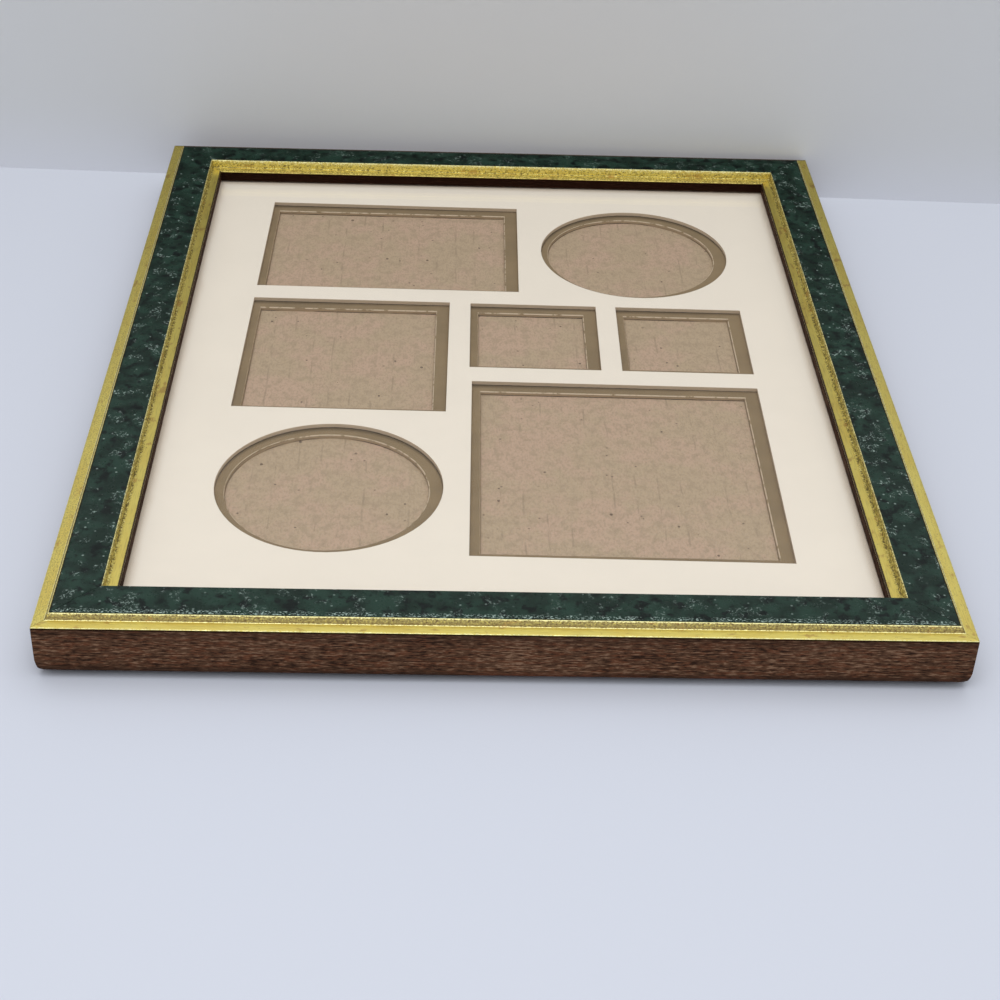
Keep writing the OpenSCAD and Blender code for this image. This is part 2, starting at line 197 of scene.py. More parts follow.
def put(tree, kind, sockets=(), **settings):
    """Adds a node, sets its settings, and links or sets its input sockets by name or number."""
    made = tree.nodes.new(kind)
    for key, value in settings.items():
        setattr(made, key, value)
    for key, value in dict(sockets).items():
        fill(made.inputs[key], value)
    return made


def fill(socket, value):
    """Links a wire to an input socket, or sets the socket itself. A colour may leave out its alpha."""
    if isinstance(value, Wire):
        value.tree.links.new(value.socket, socket)
    elif socket.type == "RGBA" and len(value) == 3:
        socket.default_value = (*value, 1.0)
    else:
        socket.default_value = value


def wire(tree, kind, sockets=(), output=0, **settings):
    """One output of a new node."""
    return Wire(put(tree, kind, sockets, **settings).outputs[output])


def sum_up(tree, operation, a, b=0.0, c=0.0, clamp=False):
    """Output of one Math node, in a material or in geometry nodes."""
    return wire(tree, "ShaderNodeMath", {0: a, 1: b, 2: c}, operation=operation, use_clamp=clamp)


class Wire:
    """Output of a node. Sums with wires and numbers add Math nodes to its tree."""

    def __init__(self, socket):
        self.socket = socket
        self.tree = socket.id_data

    def math(self, operation, b=0.0, c=0.0, clamp=False):
        return sum_up(self.tree, operation, self, b, c, clamp)

    def times_plus(self, b, c):
        return self.math("MULTIPLY_ADD", b, c)

    def most(self, other):
        return self.math("MAXIMUM", other)

    def least(self, other):
        return self.math("MINIMUM", other)

    def above(self, other):
        return self.math("GREATER_THAN", other)

    def below(self, other):
        return self.math("LESS_THAN", other)

    def __add__(self, other):
        return self.math("ADD", other)

    def __sub__(self, other):
        return self.math("SUBTRACT", other)

    def __rsub__(self, other):
        return sum_up(self.tree, "SUBTRACT", other, self)

    def __mul__(self, other):
        return self.math("MULTIPLY", other)

    def __truediv__(self, other):
        return self.math("DIVIDE", other)

    def __pow__(self, other):
        return self.math("POWER", other)

    def __abs__(self):
        return self.math("ABSOLUTE")


def parts(place):
    """The three parts of a vector."""
    return [Wire(socket) for socket in put(place.tree, "ShaderNodeSeparateXYZ", {0: place}).outputs]


def ramp(value, low, high):
    """Value stretched so that low gives 0 and high gives 1, smoothly."""
    sockets = {"Value": value, "From Min": low, "From Max": high}
    return wire(value.tree, "ShaderNodeMapRange", sockets, interpolation_type="SMOOTHSTEP")


def between(value, low, high):
    """Number from low to high as value goes from 0 to 1."""
    return wire(value.tree, "ShaderNodeMapRange", {"Value": value, "To Min": low, "To Max": high})


def blend(share, a, b):
    """Colour between a and b."""
    return wire(share.tree, "ShaderNodeMix", {0: share, 6: a, 7: b}, 2, data_type="RGBA", clamp_factor=True)


def tint(ground, *shares):
    """Colour times one share, or each of its channels times its own."""
    return [channel * share for channel, share in zip(ground, shares * 3)]


def measured(place, size, stretch, shift):
    """Place counted in sizes, in metres, longer along each axis by stretch."""
    scale = [1 / (size * s) for s in stretch]
    return wire(place.tree, "ShaderNodeMapping", {"Vector": place, "Location": shift, "Scale": scale})


def noise(place, size, detail=4.0, rough=0.55, stretch=(1, 1, 1), shift=(0, 0, 0)):
    """Noise whose blobs are about one size across."""
    at = measured(place, size, stretch, shift)
    sockets = {"Vector": at, "Scale": 1.0, "Detail": detail, "Roughness": rough}
    return wire(place.tree, "ShaderNodeTexNoise", sockets)


def dots(place, size, stretch=(1, 1, 1), shift=(0, 0, 0)):
    """Distance to the nearest of scattered points, and two random numbers that each point has."""
    sockets = {"Vector": measured(place, size, stretch, shift), "Scale": 1.0}
    found = put(place.tree, "ShaderNodeTexVoronoi", sockets).outputs
    chances = put(place.tree, "ShaderNodeSeparateColor", {0: Wire(found["Color"])}).outputs
    return Wire(found["Distance"]), Wire(chances[0]), Wire(chances[1])


def bump(height, depth, strength):
    """Normal of a height from 0 to 1, depth metres high."""
    return wire(height.tree, "ShaderNodeBump", {"Height": height, "Distance": depth, "Strength": strength})


def rays(tree):
    """Whether a ray comes from the camera, from gloss or through something clear."""
    path = put(tree, "ShaderNodeLightPath").outputs
    return [Wire(path[name]) for name in ("Is Camera Ray", "Is Glossy Ray", "Is Transmission Ray")]


# Finishes


def new_finish(name, on_strip=False):
    """A new material, and the place that its patterns read: the object's, or the one that a strip carries."""
    made = bpy.data.materials.new(name)
    made.use_nodes = True
    if on_strip:
        # Place along, across and above a rail
        return made, wire(made.node_tree, "ShaderNodeAttribute", output="Vector", attribute_name="strip")
    return made, wire(made.node_tree, "ShaderNodeTexCoord", output="Object")


def mark(place, name):
    """A number that a strip's points carry: step, wear or edge."""
    return wire(place.tree, "ShaderNodeAttribute", output="Fac", attribute_name=name)


def shaded(made, ground, rough, normal=None, specular=0.5, metallic=0.0):
    """Fills in the material's one shader. Numbers and colours are set on the shader's own sockets."""
    shader = made.node_tree.nodes["Principled BSDF"]
    fill(shader.inputs["Base Color"], ground)
    fill(shader.inputs["Roughness"], rough)
    fill(shader.inputs["Specular IOR Level"], specular)
    fill(shader.inputs["Metallic"], metallic)
    if normal:
        fill(shader.inputs["Normal"], normal)
    return made


def see_through(made, share):
    """Mixes the material's shader, by its share, with a clear one."""
    tree = made.node_tree
    shader = Wire(tree.nodes["Principled BSDF"].outputs[0])
    clear = wire(tree, "ShaderNodeBsdfTransparent")
    mixed = wire(tree, "ShaderNodeMixShader", {0: share, 1: clear, 2: shader})
    fill(tree.nodes["Material Output"].inputs["Surface"], mixed)
    return made


def wood_wrap(looks):
    """Printed wood: brown ground with short dark and pale dashes along the rail, rubbed red at the foot, with
    painted shade low on the foot and on the lip's face.
    """
    made, at = new_finish("brown_wood_wrap", on_strip=True)
    step, rubbed, height = mark(at, "step"), mark(at, "edge"), parts(at)[2]
    cloud = noise(at, 17 * MM, detail=3, stretch=(2.2, 1, 0.5))
    dash = noise(at, 0.40 * MM, detail=3, rough=0.62, stretch=(6, 1, 1))
    streak = noise(at, 0.75 * MM, detail=3, stretch=(14, 1, 1), shift=(3, 1, 2))
    warm = noise(at, 0.9 * MM, detail=3, stretch=(6, 1, 1), shift=(7, 2, 5))
    grain = streak.times_plus(0.32, dash * 0.68)
    grain = cloud.times_plus(0.16, grain - 0.08)
    tone = blend(ramp(warm, 0.46, 0.62), looks.wood, tint(looks.wood, 1.35, 1.05, 0.95))
    ground = blend(ramp(grain, 0.40, 0.50), looks.wood_dark, tone)
    ground = blend(ramp(grain, 0.515, 0.62), ground, looks.wood_pale)
    # Painted shade: the lowest few millimetres of the side, where it rounds under, are darker
    foot = ramp(cloud.times_plus(1 * MM, height), 3.2 * MM, 0.9 * MM)
    ground = blend(foot * 0.75, ground, looks.wood_dark)
    red = rubbed * ramp(dash, 0.35, 0.62) * ramp(cloud, 0.46, 0.60)
    ground = blend(red * 0.6, ground, looks.wood_rubbed)
    upper = ramp(cloud.times_plus(2 * MM, height), 10.5 * MM, 13.5 * MM)
    ground = blend(upper * 0.4, ground, looks.wood_dark)
    # Step: the dark line under the gilt, and painted shade over the lip's face, darkest on the far rail
    ground = blend(step * 0.97, ground, tint(looks.wood_dark, 0.45, 0.3, 0.25))
    rough = grain.times_plus(-0.16, 0.62).most(step * 0.95)
    return shaded(made, ground, rough, bump(grain, 0.16 * MM, 0.7), specular=0.03)


def marble_foil(looks):
    """Dark green clouds with clusters of pale squiggles, and crazing over the outer shoulder, its pale specks
    a painted glint.
    """
    made, at = new_finish("green_marbled_foil", on_strip=True)
    cloud = noise(at, 7.5 * MM)
    deep = noise(at, 3.2 * MM, rough=0.6, shift=(5, 2, 8))
    ground = blend(ramp(cloud, 0.40, 0.62), looks.green, looks.green_pale)
    ground = blend(ramp(deep, 0.50, 0.64), ground, looks.green_deep)
    # Squiggles: thin bands where a bent noise crosses its middle, kept inside scattered clusters
    waves = {"Vector": at, "Scale": 1 / (1.2 * MM), "Detail": 2.0}
    bend = {0: wire(at.tree, "ShaderNodeTexNoise", waves, "Color"), 1: (1.5 * MM,) * 3, 2: at}
    bent = wire(at.tree, "ShaderNodeVectorMath", bend, operation="MULTIPLY_ADD")
    vein = ramp(abs(noise(bent, 1.35 * MM, detail=1.5) - 0.5), 0.055, 0.015)
    cluster = ramp(noise(at, 4.6 * MM, detail=2, shift=(1, 7, 3)), 0.55, 0.64)
    scraps = ramp(noise(at, 0.8 * MM, detail=3, shift=(4, 4, 1)), 0.46, 0.56)
    near, chance, _ = dots(at, 2.1 * MM, shift=(3, 3, 3))
    small = ramp(near, 0.20, 0.09) * ramp(chance, 0.70, 0.78)
    haze = cluster * ramp(noise(at, 0.8 * MM, detail=2), 0.42, 0.70)
    ground = blend(haze * 0.05, ground, looks.fleck)
    flecks = (vein * cluster * scraps).most(small * 0.75)
    shown = mark(at, "edge").times_plus(-0.8, 0.8)
    ground = blend(flecks * shown, ground, looks.fleck)
    # Crazing over the shoulder, where the strip's step number says so: its bump is relief, its pale specks a
    # painted glint
    step = mark(at, "step")
    shoulder = ramp(step, 0.42, 0.62) * ramp(step, 0.97, 0.88)
    grit = noise(at, 0.32 * MM, detail=3, rough=0.6, stretch=(2.2, 1, 1))
    bare = ramp(noise(at, 4 * MM, detail=3, shift=(9, 1, 4)), 0.32, 0.50)
    crazing_and_glint = shoulder * ramp(grit, 0.53, 0.59) * bare
    ground = blend(crazing_and_glint * 0.92, ground, tint(looks.fleck, 1.6))
    height = noise(at, 1.6 * MM, detail=3) * 0.7 + flecks * 0.25 + crazing_and_glint * 1.6
    return shaded(made, ground, between(deep, 0.22, 0.36), bump(height, 0.08 * MM, 0.8), specular=0.15)


def gilt_foil(looks):
    """Bright gilt on the flats, with painted highlights along the creases. In the steps it is dull, cracked
    and rubbed through, and the groove and dark edges carry painted shade.
    """
    made, at = new_finish("gilt_foil", on_strip=True)
    step, edge = mark(at, "step"), mark(at, "edge")
    _, across, height = parts(at)
    brush = noise(at, 0.30 * MM, detail=3, stretch=(14, 1, 1))
    cloud = noise(at, 6 * MM, stretch=(2.4, 1, 1))
    crumb = noise(at, 0.42 * MM, rough=0.68, stretch=(1.3, 1, 1))
    ragged = crumb - 0.5
    flat = blend(ramp(cloud, 0.38, 0.66), looks.gilt, looks.gilt_orange)
    flat = blend(ramp(brush, 0.48, 0.75) * 0.34, flat, looks.gilt_dull)
    worn = blend(ramp(crumb, 0.40, 0.52), looks.gilt_dull, looks.gilt_tan)
    worn = blend(ramp(crumb, 0.54, 0.62), worn, looks.gilt)
    worn = blend(ramp(crumb, 0.39, 0.34), worn, looks.gilt_bare)
    low = ramp(crumb.times_plus(-1.2 * MM, height), 14.0 * MM, 13.0 * MM)
    worn = blend(low * 0.55, worn, looks.gilt_dull)
    # Inner steps have coarser crumbs, from bright gilt to bare primer
    coarse = noise(at, 0.50 * MM, rough=0.72, stretch=(1.2, 1, 1), shift=(6, 3, 9))
    inner = blend(ramp(coarse, 0.45, 0.54), tint(looks.gilt_dull, 0.55), looks.gilt)
    inner = blend(ramp(coarse, 0.56, 0.62), inner, looks.gilt_bright)
    worn = blend(ramp(across, 6 * MM, 8 * MM) * 0.85, worn, inner)
    ground = blend(ramp(ragged.times_plus(1.6, step), 0.30, 0.55), flat, worn)
    patch = ramp(noise(at, 3.4 * MM, rough=0.6, stretch=(1.8, 1, 1), shift=(1, 5, 2)), 0.585, 0.67)
    ground = blend(patch * 0.7, ground, looks.gilt_amber)
    # Painted highlight: bright gilt along the creases, where the edge mark is positive
    ground = blend(ramp(ragged.times_plus(3.2, edge), 0.60, 0.90), ground, looks.gilt_bright)
    rubbed = ramp(noise(at, 1.3 * MM, detail=5, rough=0.72, shift=(2, 8, 5)), 0.655, 0.70)
    ground = blend(rubbed * 0.8, ground, looks.gilt_bare)
    # Painted shade: dark gilt in the groove by the band and along edges, where the edge mark is negative
    groove = ramp(ragged.times_plus(1.2, edge), -0.15, -0.55)
    ground = blend(groove, ground, tint(looks.gilt_bare, 0.35))
    dull = rubbed.most(groove).most(step * 0.8)
    normal = bump((step * crumb).times_plus(1.6, brush * 0.14), 0.16 * MM, 0.8)
    return shaded(made, ground, dull.times_plus(0.22, 0.28), normal, metallic=dull.times_plus(-0.35, 0.75))


def cream_paper(looks):
    """Matt board paper with a fine tooth and slight clouds, darkened along the lip by painted shade and some
    soil.
    """
    made, at = new_finish("cream_mat_board")
    cloud = noise(at, 18 * MM, detail=3)
    hair = noise(at, 0.45 * MM, rough=0.6)
    shade = blend(ramp(cloud, 0.3, 0.7), looks.mat, tint(looks.mat, 0.98))
    shade = blend(ramp(hair, 0.58, 0.8), shade, tint(looks.mat, 0.96))
    x, y, _ = parts(at)
    lip_x, lip_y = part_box("inner_gilt_left")[1].x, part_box("inner_gilt_bottom")[1].y
    # Painted shade, with some soil, within a few millimetres of the lip
    gap = cloud.times_plus(2.4 * MM, (-lip_x - abs(x)).least(-lip_y - abs(y)))
    shade = blend(ramp(gap, 4.2 * MM, 1.0 * MM) * 0.45, shade, tint(looks.mat, 0.62, 0.52, 0.42))
    return shaded(made, shade, 0.88, bump(hair, 0.03 * MM, 0.25), specular=0.25)


def cut_wall(name, core, node, foot_h, broken):
    """Cut wall of a mat with a painted shadow line along its foot. Broken is the share of the line that is
    missing.
    """
    made, at = new_finish(name)
    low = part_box(node)[0].z
    torn = noise(at, 1.8 * MM, detail=3)
    foot = ramp(torn.times_plus(foot_h, parts(at)[2]), low + 1.9 * foot_h, low + 1.2 * foot_h)
    there = ramp(noise(at, 26 * MM, detail=3, rough=0.6), broken - 0.06, broken + 0.06)
    # Painted shadow: the wall's foot is darkened where it meets the sheet below
    ground = blend(foot * there, core, tint(core, 0.2))
    return shaded(made, ground, 0.9, bump(torn, 0.05 * MM, 0.5), specular=0.2)


def openings(node):
    """Centre, half sizes and roundness of each opening of a mat, read from its cut walls."""
    shell = bmesh.new()
    shell.from_mesh(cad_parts[node].data)
    shell.transform(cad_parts[node].matrix_world)
    bmesh.ops.remove_doubles(shell, verts=shell.verts, dist=SAME_PLACE)
    walls, found = {f for f in shell.faces if abs(f.normal.z) < 0.5}, []
    while walls:
        reached, group = [walls.pop()], set()
        while reached:
            face = reached.pop()
            group.update(face.verts)
            beside = {f for v in face.verts for f in v.link_faces} & walls
            walls -= beside
            reached += beside
        xs, ys = sorted(v.co.x for v in group), sorted(v.co.y for v in group)
        half = (xs[-1] - xs[0]) / 2, (ys[-1] - ys[0]) / 2
        found.append(((xs[0] + xs[-1]) / 2, (ys[0] + ys[-1]) / 2, *half, len(group) > 16))
    shell.free()
    # The largest one is the mat's own outer edge
    return sorted(found, key=lambda hole: hole[2] * hole[3])[:-1]


def far_gap(place, node):
    """Distance from a point to the far cut wall of the opening that it lies in, and over 1 m outside them."""
    tree = place.tree
    x, y, _ = parts(place)
    gap = 1.0
    for middle_x, middle_y, half_x, half_y, is_round in openings(node):
        side = abs(x - middle_x)
        reach = half_y
        if is_round:
            share = side.math("DIVIDE", half_x, clamp=True) ** 2.0
            reach = (1.0 - share).math("SQRT") * half_y
        own = sum_up(tree, "ADD", reach, middle_y) - y
        outside = side.above(half_x).most(own.above(2 * half_y)).most(own.below(-0.1 * MM))
        gap = sum_up(tree, "MINIMUM", gap, own + outside)
    return gap


def under_paper(looks):
    """Olive paper of the under mat, with painted shade in the corner under the top mat's far walls."""
    made, at = new_finish("olive_mat_board")
    hair = noise(at, 0.45 * MM, rough=0.6)
    cloud = noise(at, 16 * MM, detail=3)
    shade = blend(ramp(cloud, 0.35, 0.65), looks.under, tint(looks.under, 0.86))
    shade = blend(ramp(hair, 0.56, 0.76), shade, tint(looks.under, 0.86))
    gap = hair.times_plus(0.4 * MM, far_gap(at, "top_mat"))
    # Painted shade on the ledge, darkest at the foot of the top mat's far wall
    shade = blend(ramp(gap, 2.7 * MM, 0.1 * MM), shade, tint(looks.under, 0.36))
    return shaded(made, shade, 0.88, bump(hair, 0.03 * MM, 0.25), specular=0.25)


def broken_edge(looks):
    """Pale line on the under mat's cut edge, broken where the blade tore it: partly the paler cut, partly a
    painted highlight. Walls that face +X have none.
    """
    made, at = new_finish("olive_mat_pale_edge")
    torn = noise(at, 2.4 * MM, rough=0.65)
    way = parts(wire(at.tree, "ShaderNodeNewGeometry", output="Normal"))[0]
    # The pale line is partly a painted highlight, shown only on walls that don't face +X
    ground = blend(ramp(torn, 0.37, 0.50) * ramp(way, 0.55, 0.25), looks.under, looks.under_edge)
    return shaded(made, ground, 0.9, bump(torn, 0.06 * MM, 0.5), specular=0.2)


def kraft_paper(looks, pitch):
    """Brown liner: warm blotches, fibres, dark specks, and faint broken lines over the flutes."""
    made, at = new_finish("kraft_paper")
    blotch = noise(at, 15 * MM, rough=0.6)
    fibre = noise(at, 0.65 * MM, rough=0.7, stretch=(1, 2.0, 1))
    mottle = noise(at, 2.6 * MM, rough=0.6, stretch=(1, 1.4, 1))
    ground = blend(ramp(blotch, 0.42, 0.62), looks.kraft, looks.kraft_pink)
    ground = blend(ramp(mottle, 0.46, 0.66) * 0.62, ground, tint(looks.kraft, 0.8))
    ground = blend(ramp(fibre, 0.46, 0.64) * 0.58, ground, tint(looks.kraft, 0.72))
    # Flute lines: a wave across the board, narrowed to a line and broken along it
    wander = noise(at, 12 * MM, detail=2, shift=(0, 3, 0)) * (0.8 * MM)
    wave = ((parts(at)[0] + wander) * (2 * math.pi / pitch)).math("COSINE")
    broken = ramp(noise(at, 2.2 * MM, detail=3, stretch=(0.6, 4, 1), shift=(6, 0, 2)), 0.50, 0.66)
    line = ramp(wave, 0.94, 0.99) * broken
    ground = blend(line * 0.42, ground, tint(looks.kraft, 0.5))
    # Specks: a few of the scattered points, each a small dark chip
    near, chance, other = dots(at, 4.4 * MM, stretch=(1, 1.25, 1))
    specks = ramp(chance, 0.60, 0.64) * near.below(between(other, 0.05, 0.115))
    near, chance, _ = dots(at, 2.9 * MM, stretch=(1.2, 1, 1), shift=(5, 9, 2))
    specks = specks.most(chance.above(0.8) * ramp(near, 0.13, 0.06))
    ground = blend(specks * 0.8, ground, looks.kraft_speck)
    return shaded(made, ground, 0.9, bump(wave * 1.6 + fibre, 0.035 * MM, 0.5), specular=0.2)


def clear_glass():
    """Thin clear pane: what is behind shows through, and the gloss grows towards the edge of sight."""
    made, at = new_finish("clear_glass")
    shaded(made, (1.0, 1.0, 1.0), 0.03, metallic=1.0)
    facing = wire(at.tree, "ShaderNodeLayerWeight", {"Blend": 0.5}, "Facing")
    return see_through(made, (facing ** 6.0).times_plus(0.985, 0.015))


def backdrop_cloth(looks):
    """Grey backdrop seen only from the front, which lets every lamp through and hides nothing from behind."""
    made, at = new_finish("grey_backdrop")
    height = parts(at)[2]
    camera, gloss, through = rays(at.tree)
    behind = wire(at.tree, "ShaderNodeNewGeometry", output="Backfacing")
    shade = blend(ramp(height, -20 * MM, 34 * MM), looks.wall_foot, looks.wall)
    # In the gloss the backdrop is painted darker at its foot and brighter higher up: painted shade and light
    # for what the gilt and foil reflect
    mirrored = blend(ramp(height, 0.0, 250 * MM), tint(looks.wall, 0.14), tint(looks.wall, 1.5))
    shaded(made, blend(gloss, shade, mirrored), 0.9)
    return see_through(made, camera.most(gloss).most(through).math("SUBTRACT", behind, clamp=True))


def hardboard(looks):
    """Smooth face of a pressed wood fibre panel."""
    made, at = new_finish("hardboard")
    cloud = noise(at, 22 * MM, detail=5, rough=0.6)
    fibre = noise(at, 0.7 * MM, detail=5, rough=0.7)
    ground = blend(ramp(cloud, 0.3, 0.7), looks.panel, tint(looks.panel, 0.72))
    ground = blend(ramp(fibre, 0.55, 0.75) * 0.5, ground, tint(looks.panel, 1.7))
    near, chance, _ = dots(at, 3.4 * MM)
    chips = ramp(near, 0.16, 0.08) * ramp(chance, 0.6, 0.7)
    ground = blend(chips * 0.5, ground, tint(looks.panel, 0.4))
    return shaded(made, ground, between(cloud, 0.42, 0.6), bump(fibre, 0.05 * MM, 0.5))


def metal(name, ground, rough):
    """Rolled metal with fine drawn lines and dull patches."""
    made, at = new_finish(name)
    lines = noise(at, 0.25 * MM, stretch=(18, 1, 1))
    patch = noise(at, 2.5 * MM)
    shade = blend(ramp(patch, 0.4, 0.7), ground, tint(ground, 0.72))
    shade = blend(ramp(lines, 0.5, 0.8) * 0.3, shade, tint(ground, 0.55))
    return shaded(made, shade, between(patch, rough, rough + 0.16), bump(lines, 0.02 * MM, 0.5), metallic=1.0)


FINISHES = {}


def finishes(scene):
    """All finishes by name, made once."""
    looks = scene.frame_colours
    if not FINISHES:
        FINISHES.update(
            wood=wood_wrap(looks),
            marble=marble_foil(looks),
            gilt=gilt_foil(looks),
            glass=clear_glass(),
            mat=cream_paper(looks),
            mat_core=cut_wall("cream_mat_core", looks.mat_core, "top_mat", 0.14 * MM, 0.2),
            under=under_paper(looks),
            under_edge=broken_edge(looks),
            under_core=cut_wall("olive_mat_core", looks.under_core, "under_mat", 0.20 * MM, 0.46),
            kraft=kraft_paper(looks, scene.sheet_sizes.flute_pitch),
            panel=hardboard(looks),
            zinc=metal("zinc_plated_strip", looks.zinc, 0.32),
            steel=metal("plain_steel", looks.steel, 0.36),
        )
    return FINISHES


# Pieces


def new_object(name, mesh):
    made = bpy.data.objects.new(name, mesh)
    bpy.context.scene.collection.objects.link(made)
    return made


def hand_over(piece, body, slot, *nodes):
    """Puts a finished piece on its body and in the place of its CAD nodes."""
    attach(piece, body)
    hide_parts(*nodes)


def softened(node, body, slot, radius, steps, materials, pick=None, edges=None):
    """Copy of a CAD node with its triangles merged, its hard edges rounded and its faces given materials."""
    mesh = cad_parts[node].data.copy()
    mesh.transform(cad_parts[node].matrix_world)
    shell = bmesh.new()
    shell.from_mesh(mesh)
    bmesh.ops.remove_doubles(shell, verts=shell.verts, dist=SAME_PLACE)
    bmesh.ops.dissolve_limit(shell, angle_limit=math.radians(1), verts=shell.verts, edges=shell.edges)
    bmesh.ops.recalc_face_normals(shell, faces=shell.faces)
    hard = [e for e in shell.edges if len(e.link_faces) == 2 and e.calc_face_angle(0) > math.radians(35)]
    hard = [e for e in hard if edges is None or edges(e)]
    bmesh.ops.bevel(shell, geom=hard, offset=radius, segments=steps, profile=0.5, affect="EDGES")
    for face in shell.faces:
        rounded = 0.05 < abs(face.normal.z) < 0.97
        face.smooth = rounded or face.calc_area() < 12 * MM * MM
        face.material_index = pick(face, rounded) if pick else 0
    for edge in shell.edges:
        edge.smooth = edge.calc_face_angle(math.pi) < math.radians(30)
    bmesh.ops.triangulate(shell, faces=[f for f in shell.faces if len(f.verts) > 4])
    mesh.materials.clear()
    for material in materials:
        mesh.materials.append(material)
    shell.to_mesh(mesh)
    shell.free()
    mesh.attributes.remove(mesh.attributes["custom_normal"])
    piece = new_object(node + "_dressed", mesh)
    hand_over(piece, body, slot, node)
    return piece


# Moulding


def arc(x, z, r, start, end, steps):
    """Points of an arc in a rail's section, angles in degrees."""
    turn = [math.radians(start + (end - start) * i / steps) for i in range(steps + 1)]
    return [(x + r * math.cos(a), z + r * math.sin(a)) for a in turn]


